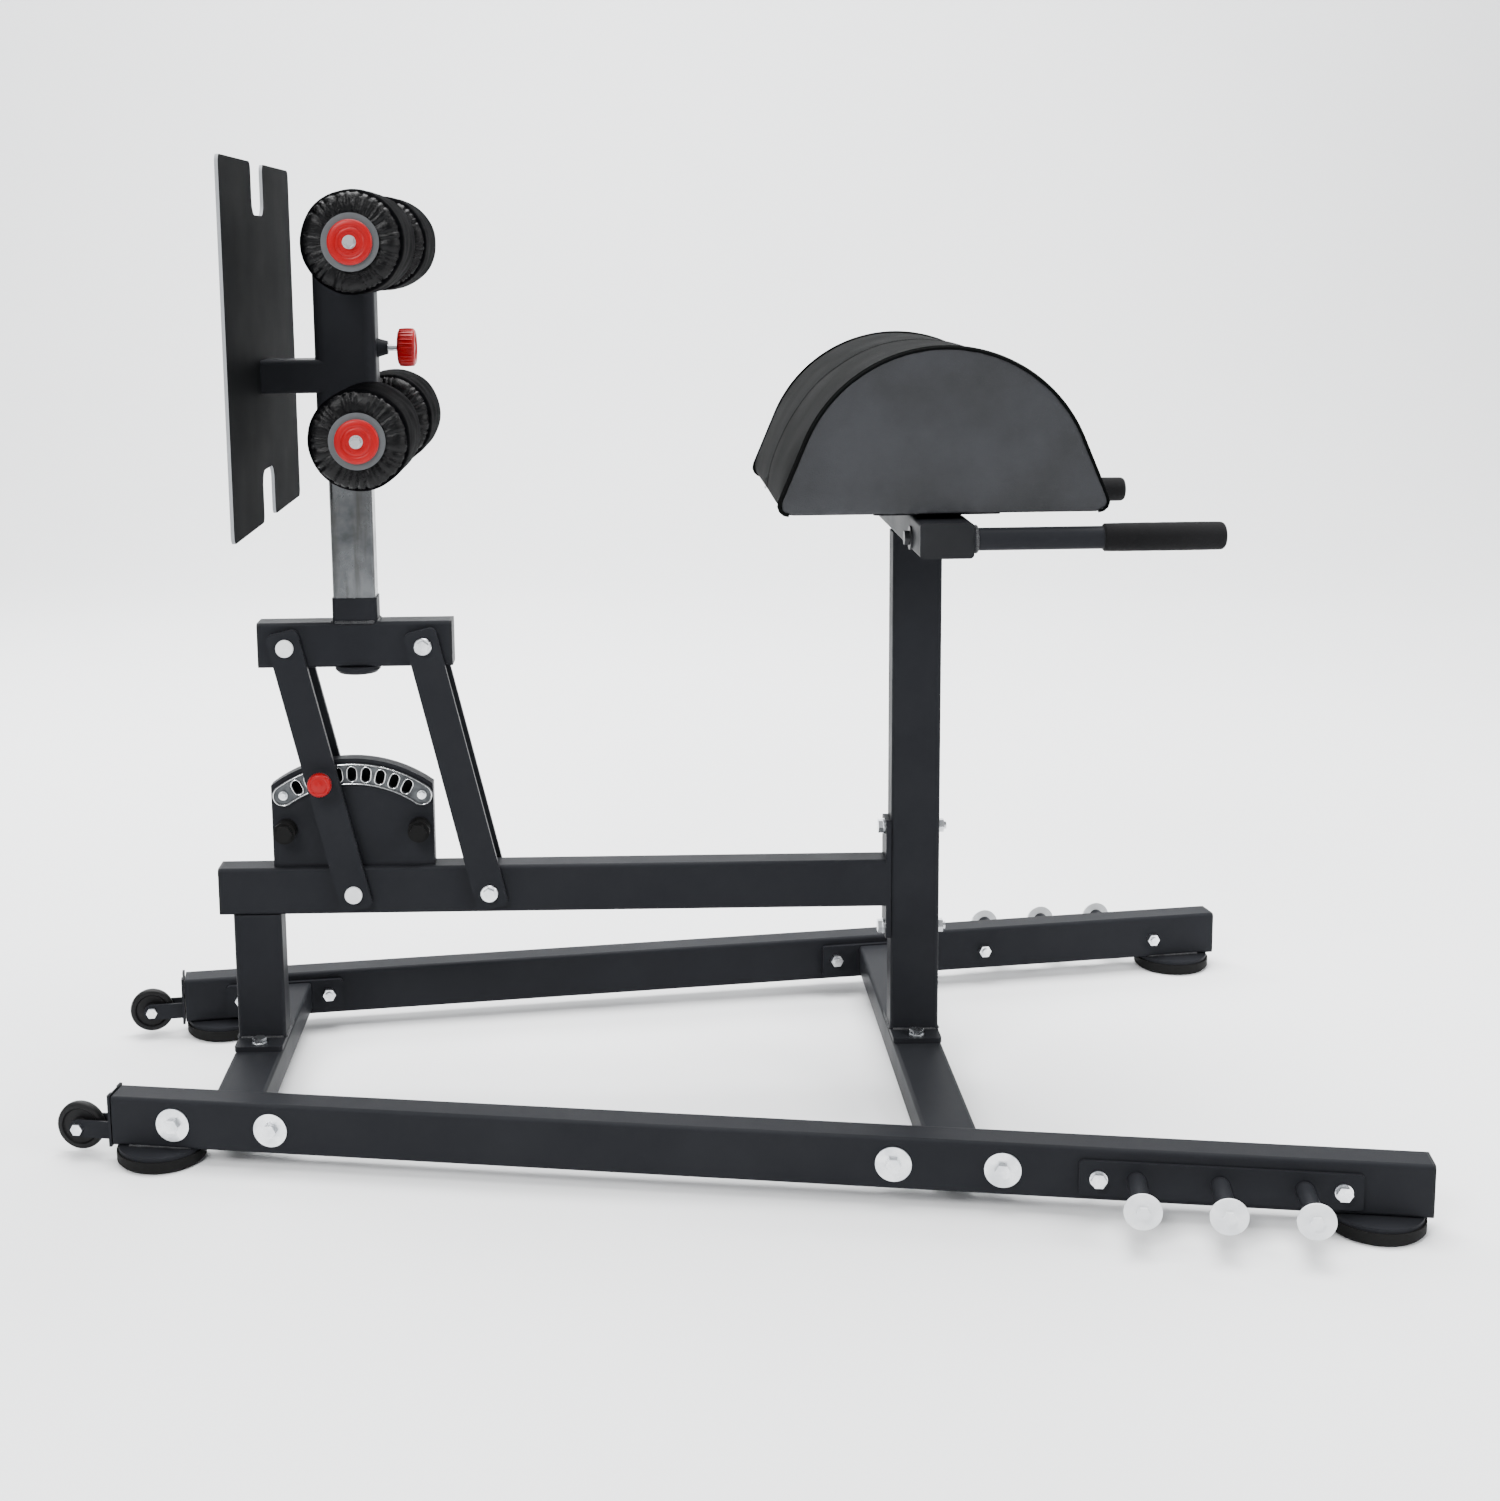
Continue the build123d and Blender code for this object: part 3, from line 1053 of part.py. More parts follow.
with BuildPart() as roller_caps:
    with BuildSketch(*axle_ends):
        Circle(CAP_RADIUS)
    extrude(amount=CAP_THICKNESS)
    outer_faces = roller_caps.faces().filter_by(Axis.Y).group_by(Axis.Y)
    fillet(outer_faces[0].edges(), radius=CAP_EDGE)
    fillet(roller_caps.faces().filter_by(Axis.Y).group_by(Axis.Y)[-1].edges(), radius=CAP_EDGE)
    with BuildSketch(*axle_ends):
        Circle(SMALL_BOLT_RADIUS)
    extrude(amount=CAP_THICKNESS, mode=Mode.SUBTRACT)
save(roller_caps, "roller_caps")

cap_faces = [plane.offset(CAP_THICKNESS) for plane in axle_ends]
roller_bolts = cap_screws(
    cap_faces, CAP_WASHER_RADIUS, WASHER_THICKNESS, CAP_THICKNESS + CAP_BOLT_DEPTH
)
save(roller_bolts, "roller_bolts")

for level, axle_z in axle_heights.items():
    for side_name, side in SIDES.items():
        inner_end = facing_side(ROLLER_X, axle_z, ROLLER_INNER_Y, side)
        with BuildPart() as hub:
            with BuildSketch(inner_end):
                Circle(HUB_RADIUS)
            extrude(amount=ROLLER_LENGTH)
            with BuildSketch(inner_end.offset(-HUB_FLANGE), inner_end.offset(ROLLER_LENGTH)):
                Circle(HUB_FLANGE_RADIUS)
            extrude(amount=HUB_FLANGE)
            with BuildSketch(inner_end.offset(-HUB_FLANGE)):
                Circle(AXLE_RADIUS + AXLE_CLEARANCE)
            extrude(amount=ROLLER_LENGTH + 2 * HUB_FLANGE, mode=Mode.SUBTRACT)
        save(hub, f"{level}_{side_name}_hub")

        with BuildPart() as roller:
            with BuildSketch(inner_end):
                Circle(ROLLER_RADIUS)
            extrude(amount=ROLLER_LENGTH)
            fillet(roller.edges().filter_by(GeomType.CIRCLE), radius=ROLLER_ROUND)
            with BuildSketch(inner_end):
                Circle(HUB_RADIUS)
            extrude(amount=ROLLER_LENGTH, mode=Mode.SUBTRACT)
        save(roller, f"{level}_{side_name}_roller")
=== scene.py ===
"""Glute-ham bench with a roman-chair hip pad: its looks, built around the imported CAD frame.

All lengths are metres in the frame of the CAD model: +X towards the hip pad, +Y left, +Z up.
"""

import json
import logging
import math
from dataclasses import dataclass
from enum import Enum
from typing import Callable, Sequence

import bmesh
import bpy
import numpy as np
from mathutils import Matrix, Vector, noise


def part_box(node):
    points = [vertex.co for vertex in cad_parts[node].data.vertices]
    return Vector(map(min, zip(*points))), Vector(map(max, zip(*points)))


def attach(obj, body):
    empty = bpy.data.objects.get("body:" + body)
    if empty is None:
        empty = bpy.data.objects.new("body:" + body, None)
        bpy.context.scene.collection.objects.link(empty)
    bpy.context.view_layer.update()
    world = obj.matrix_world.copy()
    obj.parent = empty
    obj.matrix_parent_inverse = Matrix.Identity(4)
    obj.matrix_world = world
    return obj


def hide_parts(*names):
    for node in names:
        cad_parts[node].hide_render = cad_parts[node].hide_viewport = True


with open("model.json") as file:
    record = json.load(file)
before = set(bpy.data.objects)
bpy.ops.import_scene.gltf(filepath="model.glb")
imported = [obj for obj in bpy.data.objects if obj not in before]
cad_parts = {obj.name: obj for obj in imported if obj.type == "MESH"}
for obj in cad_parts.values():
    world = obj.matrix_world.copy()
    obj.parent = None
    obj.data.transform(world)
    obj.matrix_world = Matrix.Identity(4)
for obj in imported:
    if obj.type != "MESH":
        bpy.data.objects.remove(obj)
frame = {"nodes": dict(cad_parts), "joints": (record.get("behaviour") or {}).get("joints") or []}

LOG = logging.getLogger("glute_ham_bench")
MM = 0.001
SHARP_ANGLE = math.radians(35)
# Points nearer than this are the same point.
MERGE_GAP = 1e-6
# Blender's noise lies mostly between these two values.
NOISE_LOW, NOISE_HIGH = 0.3, 0.7
# Where the slow noise starts to turn a finish to its second colour.
SECOND_FROM = 0.35

Point = tuple[float, float, float]
Loop = list[tuple[float, float]]
Shell = tuple[list[Vector], list[list[int]]]


class Side(Enum):
    """The machine's two sides, by the sign of their Y."""

    RIGHT = -1
    LEFT = 1


class Slot(Enum):
    """The record's material slots."""

    PAINT = "frame_paint"
    ZINC = "zinc"
    STEEL = "bare_steel"
    ARC = "cast_arc"
    RED = "red_plastic"
    GREY = "grey_plastic"
    BLACK = "black_plastic"
    RUBBER = "rubber"
    WHEEL = "wheel_rubber"
    GRIP = "foam_grip"
    ROLLER = "roller_cover"
    PAD = "pad_cover"


# ---- nodes, colours and meshes ----
def linear(colour: str) -> tuple[float, float, float, float]:
    """Turns an sRGB hex colour to linear RGBA.

    Args:
        colour: Six hex digits after a hash sign.

    Returns:
        The linear red, green, blue and an alpha of 1.
    """
    parts = [int(colour[i : i + 2], 16) / 255 for i in (1, 3, 5)]
    red, green, blue = (c / 12.92 if c <= 0.04045 else ((c + 0.055) / 1.055) ** 2.4 for c in parts)
    return red, green, blue, 1.0


def add_node(
    tree: bpy.types.NodeTree, kind: str, inputs: dict | None = None, **settings: object
) -> bpy.types.Node:
    """Adds one node with its settings, values and links.

    Args:
        tree: The shader or geometry tree.
        kind: The node's type name.
        inputs: Socket name or number to a value, or to the socket that feeds it.
        settings: The node's own properties.

    Returns:
        The new node.
    """
    node = tree.nodes.new(kind)
    for name, value in settings.items():
        setattr(node, name, value)
    for name, value in (inputs or {}).items():
        if isinstance(value, bpy.types.NodeSocket):
            tree.links.new(value, node.inputs[name])
        else:
            node.inputs[name].default_value = value
    return node


def new_object(name: str, mesh: bpy.types.Mesh) -> bpy.types.Object:
    """Links a new object with this mesh into the scene, at the origin."""
    piece = bpy.data.objects.new(name, mesh)
    bpy.context.scene.collection.objects.link(piece)
    return piece


def mesh_from(
    name: str, points: Sequence[Sequence[float]], faces: Sequence[Sequence[int]]
) -> bpy.types.Object:
    """Makes a mesh object with merged doubles and outward normals.

    Args:
        name: The piece's name.
        points: Vertex places.
        faces: Vertex numbers of each face.

    Returns:
        The linked object.
    """
    mesh = bpy.data.meshes.new(name)
    mesh.from_pydata([tuple(p) for p in points], [], [tuple(f) for f in faces])
    shape = bmesh.new()
    shape.from_mesh(mesh)
    bmesh.ops.remove_doubles(shape, verts=shape.verts, dist=MERGE_GAP)
    bmesh.ops.recalc_face_normals(shape, faces=shape.faces)
    shape.to_mesh(mesh)
    shape.free()
    return new_object(name, mesh)


def smooth(piece: bpy.types.Object, angle: float = SHARP_ANGLE) -> None:
    """Shades a piece smooth, with edges sharper than the angle kept crisp."""
    piece.data.polygons.foreach_set("use_smooth", [True] * len(piece.data.polygons))
    piece.data.set_sharp_from_angle(angle=angle)


def settle(piece: bpy.types.Object, body: str, slot: Slot, *replaced: str) -> bpy.types.Object:
    """Puts a finished piece on its CAD body, hides the CAD nodes that it replaces and logs it.

    Args:
        piece: The finished piece.
        body: The CAD body that it rides on.
        slot: The record's material slot; not used.
        replaced: CAD nodes that it replaces.

    Returns:
        The piece.
    """
    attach(piece, body)
    if replaced:
        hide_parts(*replaced)
    LOG.info("%s rides on %s with %d faces", piece.name, body, len(piece.data.polygons))
    return piece


def coordinates(piece: bpy.types.Object) -> np.ndarray:
    """Returns a mesh's vertex places as an array of rows."""
    places = np.zeros(len(piece.data.vertices) * 3)
    piece.data.vertices.foreach_get("co", places)
    return places.reshape(-1, 3)


def set_coordinates(piece: bpy.types.Object, places: np.ndarray) -> None:
    """Writes vertex places back to a mesh."""
    piece.data.vertices.foreach_set("co", places.ravel())
    piece.data.update()


def along_axis(centre: Vector, axis: Vector) -> Matrix:
    """Returns the transform that takes +Z at the origin to an axis at a centre."""
    return Matrix.Translation(centre) @ axis.to_track_quat("Z", "Y").to_matrix().to_4x4()


def revolved(profile: Loop, segments: int, place: Matrix) -> Shell:
    """Turns a closed profile of radius and height round an axis.

    Args:
        profile: Radius and height pairs, in order round the section.
        segments: Steps round the axis.
        place: Transform from the Z axis to the place wanted.

    Returns:
        Vertex places and faces.
    """
    points, faces, count = [], [], len(profile)
    for step in range(segments):
        angle = 2 * math.pi * step / segments
        for radius, height in profile:
            points.append(place @ Vector((radius * math.cos(angle), radius * math.sin(angle), height)))
    for step in range(segments):
        after = (step + 1) % segments
        for i in range(count):
            j = (i + 1) % count
            faces.append([step * count + i, after * count + i, after * count + j, step * count + j])
    return points, [f for f in faces if len({tuple(round(c, 7) for c in points[i]) for i in f}) > 2]


def swept(path: Sequence[Vector], radius: float, sides: int) -> Shell:
    """Sweeps a round section along an open path, with closed ends.

    Args:
        path: Points along the middle.
        radius: The section's radius.
        sides: Steps round the section.

    Returns:
        Vertex places and faces.
    """
    points, faces = [], []
    normal = Vector((0, 1, 0))
    for i, place in enumerate(path):
        ahead = path[min(i + 1, len(path) - 1)] - path[max(i - 1, 0)]
        across = ahead.cross(normal).normalized()
        level = across.cross(ahead).normalized()
        for step in range(sides):
            angle = 2 * math.pi * step / sides
            aside, up = radius * math.cos(angle), radius * math.sin(angle)
            points.append(place + across * aside + level * up)
    for i in range(len(path) - 1):
        for step in range(sides):
            after = (step + 1) % sides
            here, there = i * sides, (i + 1) * sides
            faces.append([here + step, here + after, there + after, there + step])
    faces.append(list(range(sides)))
    faces.append([(len(path) - 1) * sides + step for step in range(sides)])
    return points, faces


def gathered(parts: Sequence[Shell]) -> Shell:
    """Joins several sets of places and faces into one."""
    points: list[Vector] = []
    faces: list[list[int]] = []
    for more_points, more_faces in parts:
        faces += [[i + len(points) for i in face] for face in more_faces]
        points += more_points
    return points, faces


def ramp(value: float | np.ndarray, low: float, high: float) -> float | np.ndarray:
    """Smooth step from 0 at low to 1 at high."""
    t = np.clip((value - low) / (high - low), 0, 1)
    return t * t * (3 - 2 * t)


# ---- finishes ----
@dataclass(frozen=True)
class Finish:
    """One surface finish: what it is made of and how it is worked.

    Attributes:
        name: Material and process.
        colour: sRGB hex of its main colour.
        second: sRGB hex that it drifts towards.
        roughness: Middle of its roughness.
        spread: How far the roughness drifts either way.
        patch: Size of the drift's patches, in metres.
        grain: Size of the fine texture, in metres.
        depth: Height of the fine texture, in metres.
        metallic: 1 for bare metal, 0 for the rest.
        sheen: Soft light at the edge of cloth or foam.
        specular: Strength of the plain reflection, 0.5 for a smooth skin and less for a
            textured one.
        stretch: How the fine texture is drawn out along X, Y and Z.
    """

    name: str
    colour: str
    second: str
    roughness: float
    spread: float = 0.05
    patch: float = 0.12
    grain: float = 0.0015
    depth: float = 0.0001
    metallic: float = 0.0
    sheen: float = 0.0
    specular: float = 0.5
    stretch: Point = (1.0, 1.0, 1.0)

    def build(self) -> bpy.types.Material:
        """Makes the material: drifting colour and roughness, then its texture.

        Returns:
            The material.
        """
        material = bpy.data.materials.new(self.name)
        material.use_nodes = True
        tree = material.node_tree
        shader = tree.nodes["Principled BSDF"]
        shader.inputs["Metallic"].default_value = self.metallic
        shader.inputs["Sheen Weight"].default_value = self.sheen
        shader.inputs["Specular IOR Level"].default_value = self.specular
        place = add_node(tree, "ShaderNodeTexCoord").outputs["Object"]
        drift = add_node(
            tree, "ShaderNodeTexNoise", {"Vector": place, "Scale": 1 / self.patch, "Detail": 4.0}
        )
        colour = self.coloured(tree, place, drift.outputs["Fac"])
        tree.links.new(colour, shader.inputs["Base Color"])
        least, most = self.roughness - self.spread, self.roughness + self.spread
        rough = add_node(
            tree, "ShaderNodeMapRange",
            {0: drift.outputs["Fac"], 1: NOISE_LOW, 2: NOISE_HIGH, 3: least, 4: most},
        )
        tree.links.new(rough.outputs[0], shader.inputs["Roughness"])
        bump = add_node(
            tree, "ShaderNodeBump",
            {"Height": self.texture(tree, place), "Distance": self.depth, "Strength": 1.0},
        )
        tree.links.new(bump.outputs[0], shader.inputs["Normal"])
        return material

    def coloured(
        self, tree: bpy.types.NodeTree, place: bpy.types.NodeSocket, drift: bpy.types.NodeSocket
    ) -> bpy.types.NodeSocket:
        """Mixes the two colours by the slow drift.

        Args:
            tree: The material's tree.
            place: Object coordinates.
            drift: The slow noise.

        Returns:
            The colour socket.
        """
        share = add_node(tree, "ShaderNodeMapRange", {0: drift, 1: SECOND_FROM, 2: NOISE_HIGH})
        mix = add_node(
            tree, "ShaderNodeMix",
            {0: share.outputs[0], 6: linear(self.colour), 7: linear(self.second)}, data_type="RGBA",
        )
        return mix.outputs[2]

    def texture(self, tree: bpy.types.NodeTree, place: bpy.types.NodeSocket) -> bpy.types.NodeSocket:
        """Fine rounded grain, as on powder coat and moulded plastic.

        Args:
            tree: The material's tree.
            place: Object coordinates.

        Returns:
            The height socket.
        """
        drawn = add_node(tree, "ShaderNodeMapping", {"Vector": place, "Scale": self.stretch})
        fine = add_node(
            tree, "ShaderNodeTexNoise",
            {"Vector": drawn.outputs[0], "Scale": 1 / self.grain, "Detail": 3.0, "Roughness": 0.55},
        )
        return fine.outputs["Fac"]


@dataclass(frozen=True)
class CutPlate(Finish):
    """Laser-cut plate under powder coat, with a painted highlight: its narrow edges are coloured paler than
    its faces.

    Attributes:
        edge: sRGB hex of the painted highlight on the cut edges.
        edge_share: How far an edge's normal may lean to X and still be an edge.
        face_share: How far a face's normal has to lean to X to be a face.
    """

    # Painted highlight: the pale colour that stands for light caught by the cut edges.
    edge: str = "#8b8d90"
    edge_share: float = 0.35
    face_share: float = 0.6

    def coloured(
        self, tree: bpy.types.NodeTree, place: bpy.types.NodeSocket, drift: bpy.types.NodeSocket
    ) -> bpy.types.NodeSocket:
        """Adds a painted highlight: a paler colour on the edges, where the surface doesn't face along X.

        Args:
            tree: The material's tree.
            place: Object coordinates.
            drift: The slow noise.

        Returns:
            The colour socket.
        """
        face = super().coloured(tree, place, drift)
        normal = add_node(tree, "ShaderNodeTexCoord").outputs["Normal"]
        parts = add_node(tree, "ShaderNodeSeparateXYZ", {0: normal})
        size = add_node(tree, "ShaderNodeMath", {0: parts.outputs["X"]}, operation="ABSOLUTE")
        share = add_node(
            tree, "ShaderNodeMapRange",
            {0: size.outputs[0], 1: self.edge_share, 2: self.face_share, 3: 1.0, 4: 0.0},
        )
        # Painted highlight: the cut edges take the pale colour.
        mix = add_node(
            tree, "ShaderNodeMix", {0: share.outputs[0], 6: face, 7: linear(self.edge)}, data_type="RGBA"
        )
        return mix.outputs[2]


@dataclass(frozen=True)
class DrawnSteel(Finish):
    """Bare drawn steel tube: fine lines along it, cloudy stains and painted shade in dark lines at its
    rounded corners.

    Attributes:
        stain_and_shade: sRGB hex of the stains and of the painted shade lines at the corners.
        middle: The tube's middle, across.
        half: Half of the tube's width across, where the painted shade lines run.
        line: Width of the fade of a painted shade line, either side.
        corner_shade_share: How dark a painted shade line is.
        stain_share: How dark a stain is.
        stain_range: Noise values where a stain begins and is full.
        stain_scale: The stains' lumps in each metre along X, Y and Z, longer along the tube.
    """

    # The stains' colour, also used for the painted shade lines along the corners.
    stain_and_shade: str = "#4b4a48"
    middle: float = 0.0
    half: float = 18 * MM
    line: float = 3.5 * MM
    corner_shade_share: float = 0.8
    stain_share: float = 0.75
    stain_range: tuple[float, float] = (0.5, 0.72)
    stain_scale: Point = (70.0, 70.0, 7.0)

    def coloured(
        self, tree: bpy.types.NodeTree, place: bpy.types.NodeSocket, drift: bpy.types.NodeSocket
    ) -> bpy.types.NodeSocket:
        """Adds stains and painted shade in dark lines along the corners.

        Args:
            tree: The material's tree.
            place: Object coordinates.
            drift: The slow noise.

        Returns:
            The colour socket.
        """
        base = super().coloured(tree, place, drift)
        drawn = add_node(tree, "ShaderNodeMapping", {"Vector": place, "Scale": self.stain_scale})
        cloud = add_node(
            tree, "ShaderNodeTexNoise", {"Vector": drawn.outputs[0], "Scale": 1.0, "Detail": 6.0}
        )
        begins, full = self.stain_range
        patches = add_node(
            tree, "ShaderNodeMapRange",
            {0: cloud.outputs["Fac"], 1: begins, 2: full, 3: 0.0, 4: self.stain_share},
        )
        # Painted shade: a dark line down each rounded corner of the tube.
        parts = add_node(tree, "ShaderNodeSeparateXYZ", {0: place})
        offset = add_node(
            tree, "ShaderNodeMath", {0: parts.outputs["Y"], 1: self.middle}, operation="SUBTRACT"
        )
        size = add_node(tree, "ShaderNodeMath", {0: offset.outputs[0]}, operation="ABSOLUTE")
        gap = add_node(tree, "ShaderNodeMath", {0: size.outputs[0], 1: self.half}, operation="SUBTRACT")
        near = add_node(tree, "ShaderNodeMath", {0: gap.outputs[0]}, operation="ABSOLUTE")
        line = add_node(
            tree, "ShaderNodeMapRange",
            {0: near.outputs[0], 1: 0.0, 2: self.line, 3: self.corner_shade_share, 4: 0.0},
        )
        most = add_node(
            tree, "ShaderNodeMath", {0: line.outputs[0], 1: patches.outputs[0]}, operation="MAXIMUM"
        )
        mix = add_node(
            tree, "ShaderNodeMix", {0: most.outputs[0], 6: base, 7: linear(self.stain_and_shade)}, data_type="RGBA"
        )
        return mix.outputs[2]


@dataclass(frozen=True)
class CellTexture(Finish):
    """A surface of small rounded cells: leather-grained vinyl or closed-cell foam.

    Attributes:
        lumps: Slow lumps to each cell's width.
    """

    lumps: float = 0.35

    def texture(self, tree: bpy.types.NodeTree, place: bpy.types.NodeSocket) -> bpy.types.NodeSocket:
        """Rounded cells with soft creases between them.

        Args:
            tree: The material's tree.
            place: Object coordinates.

        Returns:
            The height socket.
        """
        cells = add_node(
            tree, "ShaderNodeTexVoronoi",
            {"Vector": place, "Scale": 1 / self.grain, "Smoothness": 0.6}, feature="SMOOTH_F1",
        )
        soft = add_node(
            tree, "ShaderNodeTexNoise",
            {"Vector": place, "Scale": self.lumps / self.grain, "Detail": 3.0},
        )
        both = add_node(
            tree, "ShaderNodeMath",
            {0: soft.outputs["Fac"], 1: cells.outputs["Distance"]}, operation="SUBTRACT",
        )
        return both.outputs[0]


# Polyester powder coat on steel, fine texture: near-black, satin, with a slight orange peel.
POWDER_COAT = Finish(
    "powder_coated_steel", "#1f2023", "#222326", 0.42, grain=1.1 * MM, depth=0.06 * MM, specular=0.025,
)
# The same coat over a laser-cut plate, with a painted highlight that makes its cut edges pale.
COATED_PLATE = CutPlate(
    "powder_coated_cut_plate", "#0e0f10", "#131415", 0.6, grain=1.1 * MM,
    depth=0.06 * MM, specular=0.005,
)
# Weld beads under the coat: a dark grey, paler than the coat round them, that is painted highlight on the
# ripples' crests.
COATED_WELD = Finish(
    "painted_weld_bead", "#3a3b3d", "#1e1f21", 0.34, patch=0.012, grain=0.9 * MM,
    depth=0.08 * MM, specular=0.3,
)
# Bright zinc plate on fasteners: pale, faintly clouded, fine pits.
ZINC_PLATE = Finish(
    "bright_zinc_plated_steel", "#eceef0", "#cdd0d4", 0.28, 0.08, patch=0.02, grain=0.6 * MM,
    depth=0.02 * MM, metallic=1.0,
)
# Black zinc plate: the same skin, dyed, with a faint sheen.
BLACK_ZINC = Finish(
    "black_zinc_plated_steel", "#2b2c2e", "#1d1e20", 0.4, patch=0.02, grain=0.6 * MM,
    depth=0.02 * MM, specular=0.2,
)
# Moulded nylon washers and caps: milky white, soft gloss.
NYLON = Finish(
    "moulded_natural_nylon", "#e6e8ea", "#d6d9dc", 0.38, patch=0.02, grain=0.9 * MM, depth=0.03 * MM
)
# Cold-drawn steel, bare and handled: dull grey, lines and stains along the tube, and painted shade along its
# corners.
DRAWN_STEEL = DrawnSteel(
    "cold_drawn_bare_steel", "#76787a", "#3a3c3e", 0.3, 0.1, patch=0.05, grain=0.5 * MM,
    depth=0.03 * MM, metallic=1.0, stretch=(1.0, 1.0, 0.03),
)
# Sand-cast aluminium as it leaves the mould: dark grey with a sandy skin.
CAST_ALUMINIUM = Finish(
    "sand_cast_aluminium", "#535557", "#3c3e40", 0.42, 0.1, patch=0.012, grain=1.4 * MM,
    depth=0.18 * MM, metallic=1.0,
)
# The same casting where its raised rims are polished: bright lines.
POLISHED_RIM = Finish(
    "polished_cast_aluminium", "#f0f1f2", "#d4d5d6", 0.22, 0.06, patch=0.01, grain=0.8 * MM,
    depth=0.02 * MM, metallic=1.0,
)
# Moulded ABS in signal red: satin with a light gloss.
RED_ABS = Finish(
    "moulded_red_abs", "#940109", "#830108", 0.38, patch=0.03, grain=0.7 * MM,
    depth=0.02 * MM, specular=0.2,
)
# Moulded polypropylene, grey.
GREY_PP = Finish(
    "moulded_grey_polypropylene", "#4f5153", "#454749", 0.5, grain=0.8 * MM,
    depth=0.03 * MM, specular=0.15,
)
# Moulded polypropylene, black: tube plugs and liners.
BLACK_PP = Finish(
    "moulded_black_polypropylene", "#17181a", "#1d1e20", 0.5, grain=0.8 * MM,
    depth=0.05 * MM, specular=0.1,
)
# Moulded natural rubber: matte, slightly dusty.
RUBBER = Finish(
    "moulded_black_rubber", "#0d0d0d", "#141414", 0.72, grain=1.2 * MM, depth=0.08 * MM, specular=0.1,
)
# Polyurethane wheel tread: harder and a little glossier than rubber.
WHEEL_TREAD = Finish(
    "cast_polyurethane_tread", "#0e0e0f", "#161617", 0.5, grain=1.0 * MM,
    depth=0.05 * MM, specular=0.15,
)
# Closed-cell NBR foam: matte with open pores about 1 mm across.
GRIP_FOAM = CellTexture(
    "nbr_foam_grip", "#101011", "#171718", 0.85, grain=1.3 * MM,
    depth=0.3 * MM, sheen=0.03, specular=0.06,
)
# Vinyl-coated cloth on the pad's sides: charcoal with a fine leather grain, 1.6 mm across.
SIDE_VINYL = CellTexture(
    "grained_charcoal_vinyl", "#303134", "#27282a", 0.46, patch=0.09, grain=1.6 * MM,
    depth=0.3 * MM, specular=0.2,
)
# Vinyl-coated cloth on the pad's top: black, smoother from wear.
TOP_VINYL = CellTexture(
    "grained_black_vinyl", "#060707", "#0a0b0b", 0.7, patch=0.09, grain=1.6 * MM,
    depth=0.2 * MM, specular=0.015,
)
# Polyurethane-coated polyester gathered over the rollers' ends: black, shiny on its folds.
ROLLER_COVER = CellTexture(
    "coated_gathered_polyester", "#030304", "#070708", 0.24, patch=0.03, grain=1.1 * MM, depth=0.3 * MM,
    specular=0.16,
)
# The same cloth, stretched smooth round the barrel: no folds, so hardly any shine.
ROLLER_BARREL = CellTexture(
    "coated_stretched_polyester", "#030304", "#050506", 0.6, patch=0.05, grain=1.1 * MM,
    depth=0.12 * MM,
    specular=0.002,
)
# Bonded polyester thread.
THREAD = Finish(
    "black_polyester_thread", "#1b1c1e", "#131415", 0.6, grain=0.3 * MM, depth=0.05 * MM, specular=0.2,
)
# Studio sheet: plain pale paper.
STUDIO_PAPER = Finish(
    "pale_studio_paper", "#f2f3f4", "#eff0f1", 0.85, patch=1.5, grain=4 * MM,
    depth=0.01 * MM, specular=0.1,
)


class Finishes:
    """Builds each finish once."""

    def __init__(self) -> None:
        """Starts with no finish built."""
        self._made: dict[str, bpy.types.Material] = {}

    def get(self, finish: Finish) -> bpy.types.Material:
        """Returns the finish's material, built at its first use."""
        if finish.name not in self._made:
            self._made[finish.name] = finish.build()
        return self._made[finish.name]


FINISHES = Finishes()


def dress(piece: bpy.types.Object, *finishes: Finish) -> bpy.types.Object:
    """Gives a piece its material slots in order."""
    piece.data.materials.clear()
    for finish in finishes:
        piece.data.materials.append(FINISHES.get(finish))
    return piece


